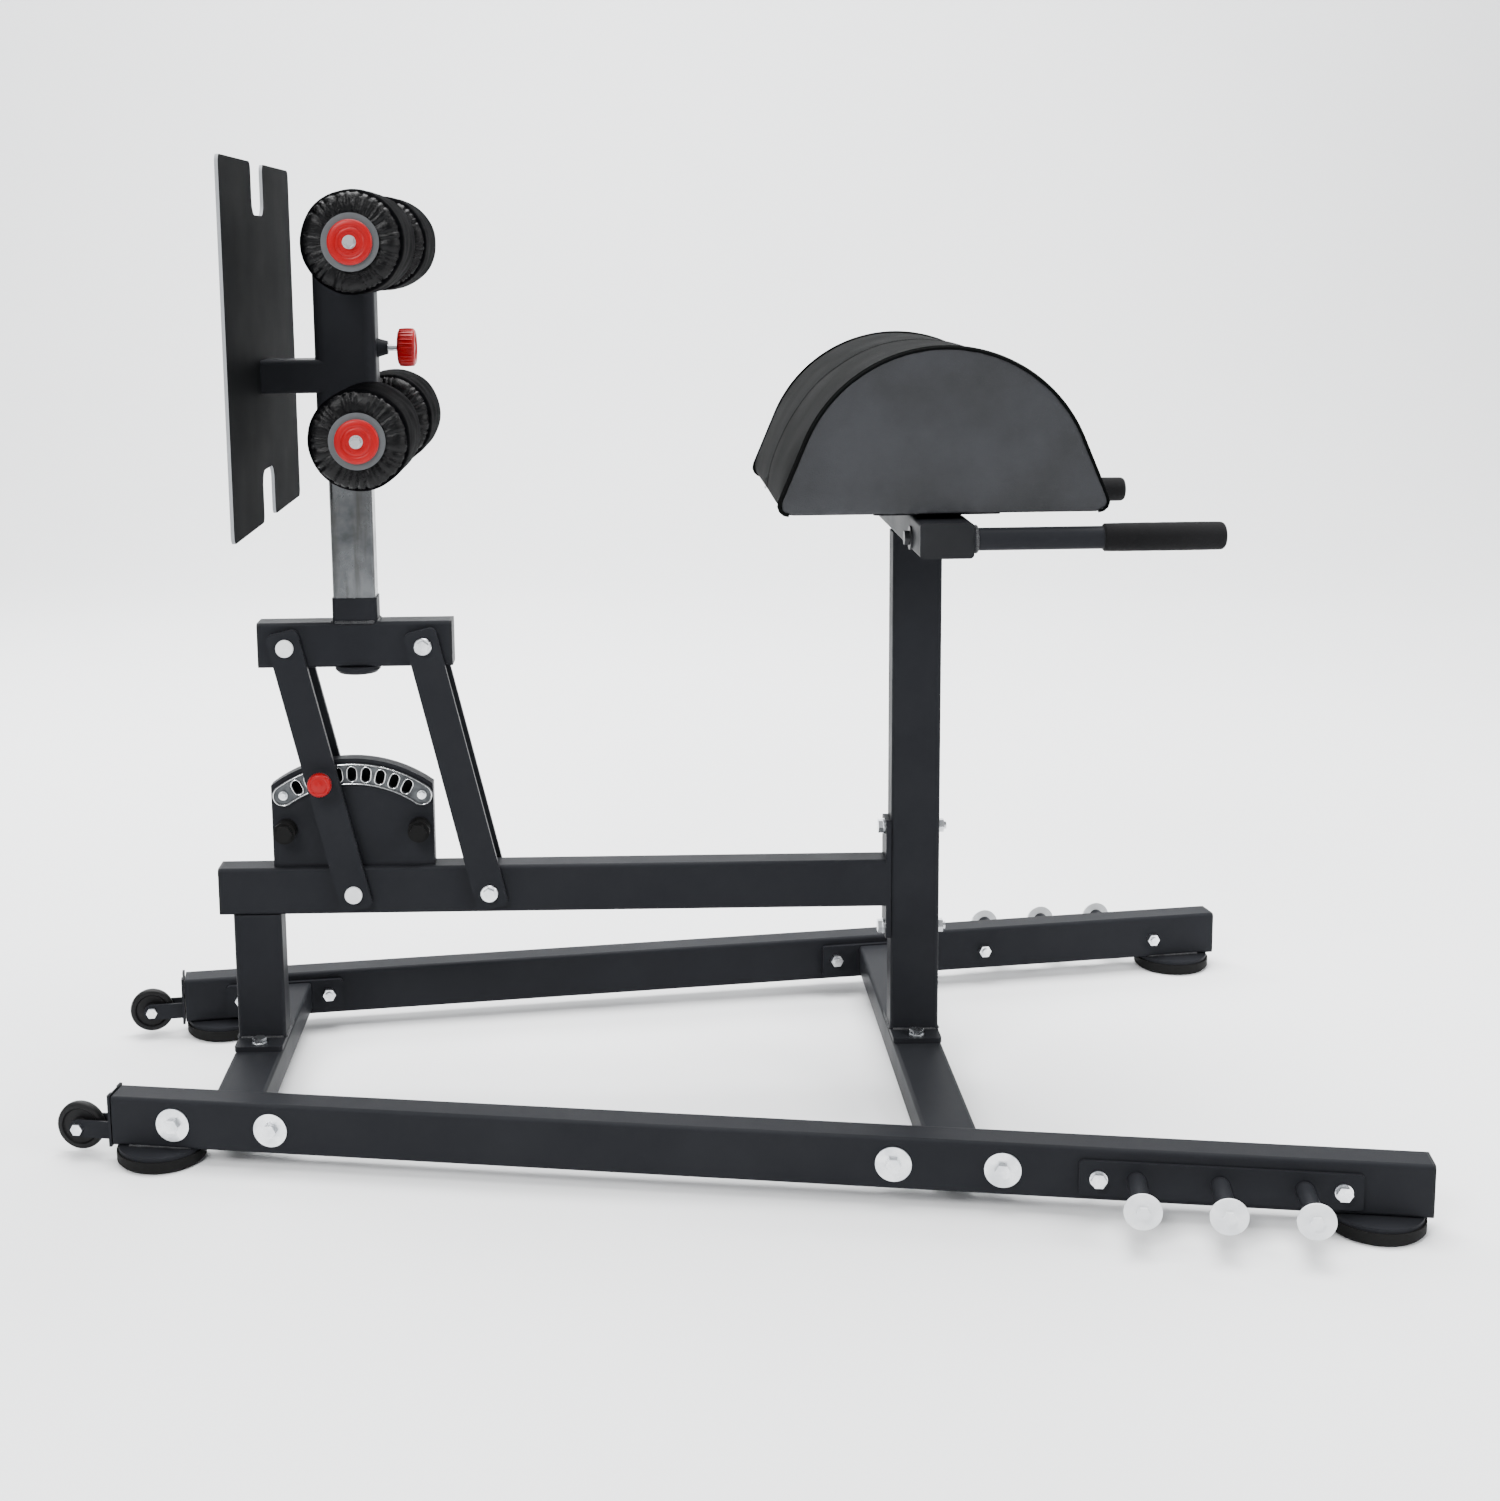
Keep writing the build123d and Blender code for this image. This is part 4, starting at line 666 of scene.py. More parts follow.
# ---- geometry node tools ----
class NodeTool:
    """A geometry node tree with named inputs, run once on a host mesh and made plain."""

    def __init__(self, name: str, inputs: dict[str, float], finish: Finish) -> None:
        """Starts the tree.

        Args:
            name: The tree's name.
            inputs: Names of its size inputs, with their first values.
            finish: The finish that the result takes.
        """
        self.tree = bpy.data.node_groups.new(name, "GeometryNodeTree")
        self.finish = finish
        self.tree.interface.new_socket("Geometry", in_out="INPUT", socket_type="NodeSocketGeometry")
        self.tree.interface.new_socket("Geometry", in_out="OUTPUT", socket_type="NodeSocketGeometry")
        self.identifiers: dict[str, str] = {}
        for label, value in inputs.items():
            kind = "NodeSocketInt" if isinstance(value, int) else "NodeSocketFloat"
            socket = self.tree.interface.new_socket(label, in_out="INPUT", socket_type=kind)
            socket.default_value = value
            self.identifiers[label] = socket.identifier
        self.given = self.tree.nodes.new("NodeGroupInput").outputs

    def add(self, kind: str, inputs: dict | None = None, **settings: object) -> bpy.types.Node:
        """Adds a node to this tree."""
        return add_node(self.tree, kind, inputs, **settings)

    def close(self, geometry: bpy.types.NodeSocket) -> None:
        """Ends the tree: instances made real, then the material set.

        Args:
            geometry: The socket with the finished geometry.
        """
        real = self.add("GeometryNodeRealizeInstances", {"Geometry": geometry})
        clad = self.add(
            "GeometryNodeSetMaterial", {"Geometry": real.outputs[0], "Material": FINISHES.get(self.finish)}
        )
        self.add("NodeGroupOutput", {0: clad.outputs[0]})

    def run(self, name: str, host: bpy.types.Object, **values: float) -> bpy.types.Object:
        """Runs the tree on a host mesh and returns the plain result.

        Args:
            name: The new piece's name.
            host: The mesh that it starts from, removed afterwards.
            values: Input sizes, by name with underscores for spaces.

        Returns:
            The new piece, with no modifier.
        """
        modifier = host.modifiers.new(self.tree.name, "NODES")
        modifier.node_group = self.tree
        for label, value in values.items():
            modifier[self.identifiers[label.replace("_", " ")]] = value
        graph = bpy.context.evaluated_depsgraph_get()
        mesh = bpy.data.meshes.new_from_object(host.evaluated_get(graph))
        mesh.name = name
        host.modifiers.clear()
        bpy.data.objects.remove(host)
        return new_object(name, mesh)


class BeadTool(NodeTool):
    """Rounded beads one after another along paths: weld ripples or stitches.

    Attributes:
        SMALLEST: Least share of its full size that a bead has along each axis.
        LARGEST: Most share of it.
        SEED: Fixes how the beads vary.
    """

    SMALLEST = (0.9, 0.9, 0.9)
    LARGEST = (1.12, 1.1, 1.1)
    SEED = 7

    def __init__(self, name: str, finish: Finish) -> None:
        """Builds the tree.

        Args:
            name: The tree's name.
            finish: The beads' finish.
        """
        sizes = {"Pitch": 2 * MM, "Length": 3 * MM, "Width": 4 * MM, "Height": 3 * MM}
        super().__init__(name, sizes, finish)
        path = self.add("GeometryNodeMeshToCurve", {"Mesh": self.given["Geometry"]})
        spaced = self.add(
            "GeometryNodeResampleCurve",
            {"Curve": path.outputs[0], "Length": self.given["Pitch"]}, mode="LENGTH",
        )
        bead = self.add("GeometryNodeMeshUVSphere", {"Segments": 10, "Rings": 6, "Radius": 0.5})
        soft = self.add("GeometryNodeSetShadeSmooth", {"Geometry": bead.outputs[0]})
        tangent = self.add("GeometryNodeInputTangent")
        turn = self.add(
            "FunctionNodeAlignRotationToVector", {"Vector": tangent.outputs[0]}, axis="X"
        )
        size = self.add(
            "ShaderNodeCombineXYZ",
            {"X": self.given["Length"], "Y": self.given["Width"], "Z": self.given["Height"]},
        )
        vary = self.add(
            "FunctionNodeRandomValue",
            {0: self.SMALLEST, 1: self.LARGEST, "Seed": self.SEED}, data_type="FLOAT_VECTOR",
        )
        scaled = self.add(
            "ShaderNodeVectorMath", {0: size.outputs[0], 1: vary.outputs[0]}, operation="MULTIPLY"
        )
        beads = self.add(
            "GeometryNodeInstanceOnPoints",
            {
                "Points": spaced.outputs[0], "Instance": soft.outputs[0],
                "Rotation": turn.outputs[0], "Scale": scaled.outputs[0],
            },
        )
        self.close(beads.outputs[0])

    def lay(self, name: str, paths: Sequence[Sequence[Vector]], **values: float) -> bpy.types.Object:
        """Lays beads along open paths.

        Args:
            name: The new piece's name.
            paths: Each path's points.
            values: The tree's sizes.

        Returns:
            The new piece.
        """
        points: list[Vector] = []
        edges: list[tuple[int, int]] = []
        for path in paths:
            edges += [(len(points) + i, len(points) + i + 1) for i in range(len(path) - 1)]
            points += path
        mesh = bpy.data.meshes.new(name + "_paths")
        mesh.from_pydata([tuple(p) for p in points], edges, [])
        return self.run(name, new_object(name + "_paths", mesh), **values)


class RidgeTool(NodeTool):
    """Rounded ridges in a ring, as round the rim of a hand knob."""

    def __init__(self, finish: Finish) -> None:
        """Builds the tree.

        Args:
            finish: The ridges' finish.
        """
        sizes = {"Count": 24, "Ring": 20 * MM, "Ridge": 2 * MM, "Length": 15 * MM}
        super().__init__("knob_ridges", sizes, finish)
        ring = self.add(
            "GeometryNodeMeshCircle", {"Vertices": self.given["Count"], "Radius": self.given["Ring"]}
        )
        ridge = self.add("GeometryNodeMeshUVSphere", {"Segments": 12, "Rings": 10, "Radius": 1.0})
        soft = self.add("GeometryNodeSetShadeSmooth", {"Geometry": ridge.outputs[0]})
        half = self.add("ShaderNodeMath", {0: self.given["Length"], 1: 0.5}, operation="MULTIPLY")
        size = self.add(
            "ShaderNodeCombineXYZ",
            {"X": self.given["Ridge"], "Y": self.given["Ridge"], "Z": half.outputs[0]},
        )
        ridges = self.add(
            "GeometryNodeInstanceOnPoints",
            {"Points": ring.outputs[0], "Instance": soft.outputs[0], "Scale": size.outputs[0]},
        )
        self.close(ridges.outputs[0])


class BoltTool(NodeTool):
    """Hex bolts with chamfered heads on washers, one on each point of the host.

    Attributes:
        CONE_HEIGHT: Height of the cone that chamfers a head, to the head's own.
        CONE_FOOT: The cone's radius at its foot, to the head's corner radius.
        CONE_TIP: The cone's radius at its tip, to the same.
        CONE_DROP: How far the cone is sunk, to the head's height.
        SEED: Fixes how far each bolt was turned when it was tightened.
    """

    CONE_HEIGHT = 3.0
    CONE_FOOT = 1.62
    CONE_TIP = 0.1
    CONE_DROP = 0.62
    SEED = 11

    def __init__(self, finish: Finish) -> None:
        """Builds the tree.

        Args:
            finish: The bolts' finish.
        """
        sizes = {"Across": 16 * MM, "Head": 6 * MM, "Washer": 9.5 * MM, "Washer Thickness": 2 * MM}
        super().__init__("hex_bolts", sizes, finish)
        corner = self.add(
            "ShaderNodeMath", {0: self.given["Across"], 1: 1 / math.sqrt(3)}, operation="MULTIPLY"
        )
        prism = self.add(
            "GeometryNodeMeshCylinder",
            {"Vertices": 6, "Radius": corner.outputs[0], "Depth": self.given["Head"]},
        )
        shares = (
            (self.given["Head"], self.CONE_HEIGHT), (corner.outputs[0], self.CONE_FOOT),
            (corner.outputs[0], self.CONE_TIP), (self.given["Head"], -self.CONE_DROP),
        )
        deep, wide, narrow, low = (
            self.add("ShaderNodeMath", {0: size, 1: share}, operation="MULTIPLY") for size, share in shares
        )
        cone = self.add(
            "GeometryNodeMeshCone",
            {
                "Vertices": 40, "Radius Top": narrow.outputs[0], "Radius Bottom": wide.outputs[0],
                "Depth": deep.outputs[0],
            },
        )
        sunk = self.raised(cone.outputs[0], low.outputs[0])
        head = self.add("GeometryNodeMeshBoolean", operation="INTERSECT", solver="EXACT")
        for solid in (prism.outputs[0], sunk):
            self.tree.links.new(solid, head.inputs["Mesh 2"])
        lift = self.add(
            "ShaderNodeMath",
            {0: self.given["Head"], 1: 0.5, 2: self.given["Washer Thickness"]}, operation="MULTIPLY_ADD",
        )
        seated = self.raised(head.outputs[0], lift.outputs[0])
        washer = self.add(
            "GeometryNodeMeshCylinder",
            {"Vertices": 48, "Radius": self.given["Washer"], "Depth": self.given["Washer Thickness"]},
        )
        half = self.add(
            "ShaderNodeMath", {0: self.given["Washer Thickness"], 1: 0.5}, operation="MULTIPLY"
        )
        laid = self.raised(washer.outputs[0], half.outputs[0])
        bolt = self.add("GeometryNodeJoinGeometry")
        for solid in (seated, laid):
            self.tree.links.new(solid, bolt.inputs[0])
        facing = self.add(
            "GeometryNodeInputNamedAttribute", {"Name": "facing"}, data_type="FLOAT_VECTOR"
        )
        turn = self.add("FunctionNodeAlignRotationToVector", {"Vector": facing.outputs[0]}, axis="Z")
        spin = self.add(
            "FunctionNodeRandomValue", {2: 0.0, 3: math.pi / 3, "Seed": self.SEED}, data_type="FLOAT"
        )
        twist = self.add("ShaderNodeCombineXYZ", {"Z": spin.outputs[1]})
        bolts = self.add(
            "GeometryNodeInstanceOnPoints",
            {"Points": self.given["Geometry"], "Instance": bolt.outputs[0], "Rotation": turn.outputs[0]},
        )
        turned = self.add(
            "GeometryNodeRotateInstances", {"Instances": bolts.outputs[0], "Rotation": twist.outputs[0]}
        )
        self.close(turned.outputs[0])

    def raised(
        self, geometry: bpy.types.NodeSocket, height: bpy.types.NodeSocket
    ) -> bpy.types.NodeSocket:
        """Moves geometry up along the bolt's axis.

        Args:
            geometry: What is moved.
            height: How far.

        Returns:
            The moved geometry's socket.
        """
        rise = self.add("ShaderNodeCombineXYZ", {"Z": height})
        moved = self.add("GeometryNodeTransform", {"Geometry": geometry, "Translation": rise.outputs[0]})
        return moved.outputs[0]

    def fit(self, name: str, seats: Sequence[tuple[Vector, Vector]], **values: float) -> bpy.types.Object:
        """Fits one bolt to each seat.

        Args:
            name: The new piece's name.
            seats: Each seat's place and the way that it faces.
            values: The tree's sizes.

        Returns:
            The new piece.
        """
        mesh = bpy.data.meshes.new(name + "_seats")
        mesh.from_pydata([tuple(place) for place, _ in seats], [], [])
        facing = mesh.attributes.new("facing", "FLOAT_VECTOR", "POINT")
        facing.data.foreach_set("vector", [c for _, way in seats for c in way])
        return self.run(name, new_object(name + "_seats", mesh), **values)


# ---- padding ----
@dataclass
class Swelling:
    """Fills a closed cover by cloth pressure.

    Attributes:
        voxel: Size of the remesh.
        cap: Furthest that a point moves.
        pressure: Pressure inside the cover.
        frames: Steps of the simulation.
    """

    voxel: float = 5 * MM
    cap: float = 8 * MM
    pressure: float = 4.0
    frames: int = 20

    def swell(self, piece: bpy.types.Object, held: Callable[[np.ndarray], np.ndarray]) -> None:
        """Remeshes a cover, fills it, caps how far it moves and subdivides it once.

        Args:
            piece: The closed cover.
            held: Gives each place's hold from 0, free, to 1, sewn down.
        """
        remesh = piece.modifiers.new("Remesh", "REMESH")
        remesh.mode = "VOXEL"
        remesh.voxel_size = self.voxel
        self.bake(piece)
        start = coordinates(piece)
        hold = held(start)
        group = piece.vertex_groups.new(name="sewn")
        for index in np.nonzero(hold > 0)[0]:
            group.add([int(index)], float(hold[index]), "REPLACE")
        cloth = piece.modifiers.new("Cloth", "CLOTH")
        cloth.settings.use_pressure = True
        cloth.settings.uniform_pressure_force = self.pressure
        cloth.settings.effector_weights.gravity = 0
        cloth.settings.vertex_group_mass = group.name
        cloth.point_cache.frame_start = 1
        cloth.point_cache.frame_end = self.frames
        for step in range(1, self.frames + 1):
            bpy.context.scene.frame_set(step)
        self.bake(piece)
        bpy.context.scene.frame_set(1)
        piece.vertex_groups.clear()
        moved = coordinates(piece) - start
        far = np.linalg.norm(moved, axis=1, keepdims=True)
        moved *= np.where(far > 0, self.cap * np.tanh(far / self.cap) / np.maximum(far, 1e-9), 0)
        set_coordinates(piece, start + moved * (1 - hold[:, None]))
        finer = piece.modifiers.new("Subdivision", "SUBSURF")
        finer.levels = finer.render_levels = 1
        self.bake(piece)

    @staticmethod
    def bake(piece: bpy.types.Object) -> None:
        """Turns a piece and its modifiers into a plain mesh."""
        graph = bpy.context.evaluated_depsgraph_get()
        mesh = bpy.data.meshes.new_from_object(piece.evaluated_get(graph))
        piece.modifiers.clear()
        piece.data = mesh


def displaced(piece: bpy.types.Object, height: Callable[[np.ndarray, np.ndarray], np.ndarray]) -> None:
    """Moves every point along its own normal.

    Args:
        piece: The mesh.
        height: Gives the distance for each place and normal.
    """
    places = coordinates(piece)
    normals = np.zeros(len(places) * 3)
    piece.data.vertex_normals.foreach_get("vector", normals)
    normals = normals.reshape(-1, 3)
    set_coordinates(piece, places + normals * height(places, normals)[:, None])


def clouds(places: np.ndarray, size: float, offset: float) -> np.ndarray:
    """Slow noise from -1 to 1 at each place, in lumps of a given size."""
    return np.array([noise.noise(Vector(p) / size + Vector((offset, 0, 0))) for p in places])


@dataclass
class HipPad:
    """The D-shaped hip pad: cover, piping and seam.

    Attributes:
        radius: Radius of its round top.
        rise: Height of the top's centre above the bottom.
        slope: Lean of its straight sides, in radians.
        corner: Radius of the bottom corners.
        slack: How far the cover starts inside its full shape.
        piping: Radius of a piping cord.
        piping_gap: Distance between the two lines of piping.
        step: Spacing of the starting cover's points.
        seam_depth: Depth of the middle seam.
        seam_width: How far the seam pulls the cover down either side.
        stitch_gap: Distance of each line of stitches from the seam.
        tuck_depth: Depth of the tucks by the bottom edge.
        tuck_width: Width of a tuck, over two pi.
        tuck_fade: How far up the sides the tucks run out.
        unevenness: Height of the slow lumps in the padding.
    """

    radius: float = 214 * MM
    rise: float = 25 * MM
    slope: float = math.radians(22.8)
    corner: float = 18 * MM
    slack: float = 4 * MM
    piping: float = 2.3 * MM
    piping_gap: float = 6.5 * MM
    step: float = 12 * MM
    seam_depth: float = 2.6 * MM
    seam_width: float = 3.2 * MM
    stitch_gap: float = 6.2 * MM
    tuck_depth: float = 1.5 * MM
    tuck_width: float = 4.6 * MM
    tuck_fade: float = 16 * MM
    unevenness: float = 0.8 * MM

    def outline(self, inset: float, step: float) -> list[tuple[float, float]]:
        """Traces the section, from the front bottom corner over the top to the rear one.

        Args:
            inset: Distance inside the full shape.
            step: Spacing of the points.

        Returns:
            Distances ahead of the middle and above the bottom.
        """
        big, small = self.radius - inset, max(self.corner - inset, 1 * MM)
        reach = big + self.rise * math.sin(self.slope)
        middle_x = (reach - small - math.sin(self.slope) * (inset + small)) / math.cos(self.slope)
        bend = math.pi / 2 + self.slope
        corner_steps = max(2, int(small * bend / step))
        side = [
            (middle_x + small * math.cos(a), inset + small + small * math.sin(a))
            for a in (-math.pi / 2 + bend * i / corner_steps for i in range(corner_steps + 1))
        ]
        start = side[-1]
        end = (big * math.cos(self.slope), self.rise + big * math.sin(self.slope))
        straight = max(2, int(math.dist(start, end) / step))
        run, climb = end[0] - start[0], end[1] - start[1]
        side += [
            (start[0] + run * i / straight, start[1] + climb * i / straight) for i in range(1, straight)
        ]
        turn = math.pi - 2 * self.slope
        arc_steps = int(big * turn / step)
        arc = [
            (big * math.cos(a), self.rise + big * math.sin(a))
            for a in (self.slope + turn * i / arc_steps for i in range(arc_steps + 1))
        ]
        return side + arc + [(-x, z) for x, z in reversed(side)]

    def build(self) -> None:
        """Makes the pad's pieces and settles them on the base."""
        low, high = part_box("hip_pad")
        self.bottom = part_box("pad_board")[0].z
        self.middle_x, self.half = (low.x + high.x) / 2, (high.y - low.y) / 2
        cover = self.cover()
        dress(cover, TOP_VINYL, SIDE_VINYL)
        self.panel(cover)
        settle(cover, "base", Slot.PAD, "hip_pad", "pad_board")
        lines = [swept(path, self.piping, 10) for path in self.piping_paths()]
        cords = mesh_from("hip_pad_piping", *gathered(lines))
        smooth(dress(cords, TOP_VINYL))
        settle(cords, "base", Slot.PAD)
        stitches = STITCHES.lay(
            "hip_pad_stitches", self.seam_paths(),
            Pitch=4.2 * MM, Length=3.1 * MM, Width=1.1 * MM, Height=1.1 * MM,
        )
        settle(stitches, "base", Slot.PAD)

    def cover(self) -> bpy.types.Object:
        """Makes the cover: sewn down along its edges and bottom, crowned between them.

        Returns:
            The cover's mesh.
        """
        loop = self.outline(self.slack, self.step)
        end_y = self.half - self.slack
        count = int(2 * end_y / self.step)
        points = [
            Vector((self.middle_x + x, -end_y + 2 * end_y * row / count, self.bottom + z))
            for row in range(count + 1)
            for x, z in loop
        ]
        size = len(loop)
        faces = [
            [here + i, here + (i + 1) % size, here + size + (i + 1) % size, here + size + i]
            for here in range(0, count * size, size)
            for i in range(size)
        ]
        faces += [list(range(size)), [count * size + i for i in range(size)]]
        cover = mesh_from("hip_pad_cover", points, faces)
        Swelling(voxel=6 * MM, cap=11 * MM).swell(cover, self.sewn)
        displaced(cover, self.sewing)
        smooth(cover, math.pi)
        return cover

    def across(self, places: np.ndarray) -> np.ndarray:
        """Distance of each place inside the section's outer line."""
        x, z = places[:, 0] - self.middle_x, places[:, 2] - self.bottom
        round_top = self.radius - np.hypot(x, z - self.rise)
        reach = self.radius + self.rise * math.sin(self.slope)
        straight = reach - (np.abs(x) * math.cos(self.slope) + z * math.sin(self.slope))
        angle = np.arctan2(z - self.rise, np.abs(x))
        return np.where(angle > self.slope, round_top, straight)

    def sewn(self, places: np.ndarray) -> np.ndarray:
        """Holds the bottom and the two curved edges."""
        depth = self.across(places)
        end = self.half - self.slack - np.abs(places[:, 1])
        edge = 1 - ramp(np.maximum(depth - self.slack, end), 5 * MM, 14 * MM)
        bottom = 1 - ramp(places[:, 2] - self.bottom, 6 * MM, 22 * MM)
        return np.clip(np.maximum(edge, bottom), 0, 1)

    def sewing(self, places: np.ndarray, normals: np.ndarray) -> np.ndarray:
        """Adds the seam along the middle, tucks by the bottom edge and a slight unevenness."""
        top = 1 - ramp(np.abs(normals[:, 1]), 0.3, 0.6)
        up = ramp(places[:, 2] - self.bottom, 4 * MM, 12 * MM)
        seam = -self.seam_depth * np.exp(-((places[:, 1] / self.seam_width) ** 2)) * top * up
        rise = places[:, 2] - self.bottom
        tuck = np.exp(-np.maximum(rise - 12 * MM, 0) / self.tuck_fade) * ramp(rise, 2 * MM, 10 * MM)
        wander = clouds(places, 55 * MM, 3.0)
        strength = 0.5 + 0.5 * clouds(places, 30 * MM, 9.0)
        folds = np.sin(places[:, 0] / self.tuck_width + 3.5 * wander) * strength
        lumps = self.unevenness * clouds(places, 90 * MM, 5.0) * up
        return seam + (1 - top) * tuck * folds * self.tuck_depth + lumps

    def panel(self, cover: bpy.types.Object) -> None:
        """Gives the two flat sides the charcoal cover."""
        for face in cover.data.polygons:
            end = self.half - self.slack - abs(face.center.y)
            face.material_index = 1 if abs(face.normal.y) > 0.62 or end < 0.3 * MM else 0

    def piping_paths(self) -> list[list[Vector]]:
        """Returns the middle of each piping cord: two lines round each curved edge."""
        paths = []
        for side in Side:
            for inboard in (0.0, self.piping_gap):
                inset = self.slack - (0.2 * MM if inboard else -1.2 * MM)
                y = side.value * (self.half - self.slack - 0.8 * MM - inboard)
                line = self.outline(inset, 6 * MM)
                paths.append([Vector((self.middle_x + x, y, self.bottom + z)) for x, z in line])
        return paths

    def seam_paths(self) -> list[list[Vector]]:
        """Returns the two lines of stitches beside the middle seam."""
        line = [(x, z) for x, z in self.outline(self.slack - 0.4 * MM, 8 * MM) if z > 14 * MM]
        return [
            [Vector((self.middle_x + x, y, self.bottom + z)) for x, z in line]
            for y in (-self.stitch_gap, self.stitch_gap)
        ]


@dataclass
class Rollers:
    """The four ankle rollers: foam in gathered covers, with caps, bolts and hubs.

    Attributes:
        pleats: Folds round each gathered end.
        bore: Radius of the hole for the hub.
        rounding: Radius at the rim of each end.
        slack: How far the cover starts inside its full shape.
        cap_radius: Radius of the end caps.
        cap_height: Height of a cap's dome.
        pleat_depth: Depth of a fold on the ends.
        minor_depth: Depth of the small folds between.
        rim_depth: Depth of the folds where they run out round the rim.
        rim_fade: How far along the barrel they run out.
        dent: Depth of the soft dents.
        fold_level: Share of a fold's height that stays at the cover's own surface.
        minor_level: The same for the small folds.
        folded_rim: How far in from an end the cloth is creased.
    """

    pleats: int = 30
    bore: float = 20.5 * MM
    rounding: float = 20 * MM
    slack: float = 3 * MM
    cap_radius: float = 31 * MM
    cap_height: float = 8 * MM
    pleat_depth: float = 4.2 * MM
    minor_depth: float = 1.1 * MM
    rim_depth: float = 0.4 * MM
    rim_fade: float = 9 * MM
    dent: float = 1.3 * MM
    fold_level: float = 0.85
    minor_level: float = 0.8
    folded_rim: float = 11 * MM

    def build(self) -> None:
        """Makes one cover and turns a copy of it for each roller, then the caps and bolts."""
        low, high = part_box("upper_right_roller")
        self.radius, self.half = (high.x - low.x) / 2, (high.y - low.y) / 2
        master = self.cover()
        for number, (name, _) in enumerate(self.places()):
            low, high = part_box(name)
            mesh = master.data.copy()
            turn = Matrix.Rotation(number * 1.37, 4, "Y")
            flip = Matrix.Rotation(math.pi * (number % 2), 4, "Z")
            mesh.transform(Matrix.Translation((low + high) / 2) @ turn @ flip)
            piece = new_object(name + "_cover", mesh)
            settle(piece, name, Slot.ROLLER, name)
        bpy.data.objects.remove(master)
        self.ends()

    @staticmethod
    def places() -> list[tuple[str, Side]]:
        """Returns each roller's node name and side."""
        levels = ("upper", "lower")
        return [(f"{level}_{side.name.lower()}_roller", side) for level in levels for side in Side]

    def cover(self) -> bpy.types.Object:
        """Makes a roller's cover at the origin, along Y.

        Returns:
            The cover.
        """
        outer, end = self.radius - self.slack, self.half - self.slack
        inner, flat = outer - self.rounding, end - self.rounding
        rim = [
            (inner + self.rounding * math.sin(a), flat + self.rounding * math.cos(a))
            for a in (math.pi / 2 * i / 8 for i in range(9))
        ]
        profile = [(self.bore, end)] + rim + [(r, -h) for r, h in reversed(rim)] + [(self.bore, -end)]
        place = along_axis(Vector((0, 0, 0)), Vector((0, 1, 0)))
        cover = mesh_from("roller_cover", *revolved(profile, 96, place))
        Swelling(voxel=4 * MM, cap=5 * MM).swell(cover, self.sewn)
        displaced(cover, self.gathers)
        smooth(cover, math.pi)
        dress(cover, ROLLER_COVER, ROLLER_BARREL)
        for face in cover.data.polygons:
            face.material_index = int(abs(face.center.y) < self.half - self.folded_rim)
        return cover

    def sewn(self, places: np.ndarray) -> np.ndarray:
        """Holds the bore and the ends under the hub's flange."""
        reach = np.hypot(places[:, 0], places[:, 2])
        return 1 - ramp(reach, 36 * MM, 46 * MM)

    def gathers(self, places: np.ndarray, normals: np.ndarray) -> np.ndarray:
        """Adds radiating pleats on the ends, creases near the rims and soft dents."""
        reach = np.hypot(places[:, 0], places[:, 2])
        angle = np.arctan2(places[:, 2], places[:, 0])
        side = np.sign(places[:, 1])
        ring = np.stack([np.cos(angle) * 2.2, side, np.sin(angle) * 2.2], axis=1)
        wander = clouds(ring, 1.0, 4.0)
        phase = self.pleats / 2 * angle + 4.5 * wander + side
        fold = np.abs(np.sin(phase)) ** 0.4
        minor = np.abs(np.sin(2.3 * phase + 2 * clouds(ring, 0.5, 2.0))) ** 0.5
        on_end = ramp(reach, 29 * MM, 36 * MM) * (1 - ramp(reach, 62 * MM, 74 * MM))
        on_end = on_end * ramp(np.abs(normals[:, 1]), 0.1, 0.5)
        from_end = self.half - np.abs(places[:, 1])
        barrel = ramp(reach, 60 * MM, 72 * MM) * np.exp(-np.maximum(from_end, 0) / self.rim_fade)
        depth = 1 + 0.9 * clouds(ring, 0.3, 6.0)
        inside = ramp(reach, 30 * MM, 40 * MM)
        major = (fold - self.fold_level) * self.pleat_depth
        small = (minor - self.minor_level) * self.minor_depth
        return (
            on_end * (depth * major + small)
            + barrel * (fold - self.fold_level) * self.rim_depth
            + inside * clouds(places, 32 * MM, 8.0) * self.dent
        )

    def ends(self) -> None:
        """Makes the red end caps with their raised rings, and their bolts."""
        radius, height = self.cap_radius, self.cap_height
        seat, bore = 0.84 * height, 4 * MM
        rise = [(radius, 0.0), (radius, 0.45 * height), (radius - 1.2 * MM, 0.62 * height)]
        dome = [(radius * f, height * (0.62 + 0.38 * (1 - f * f))) for f in (0.92, 0.84, 0.76)]
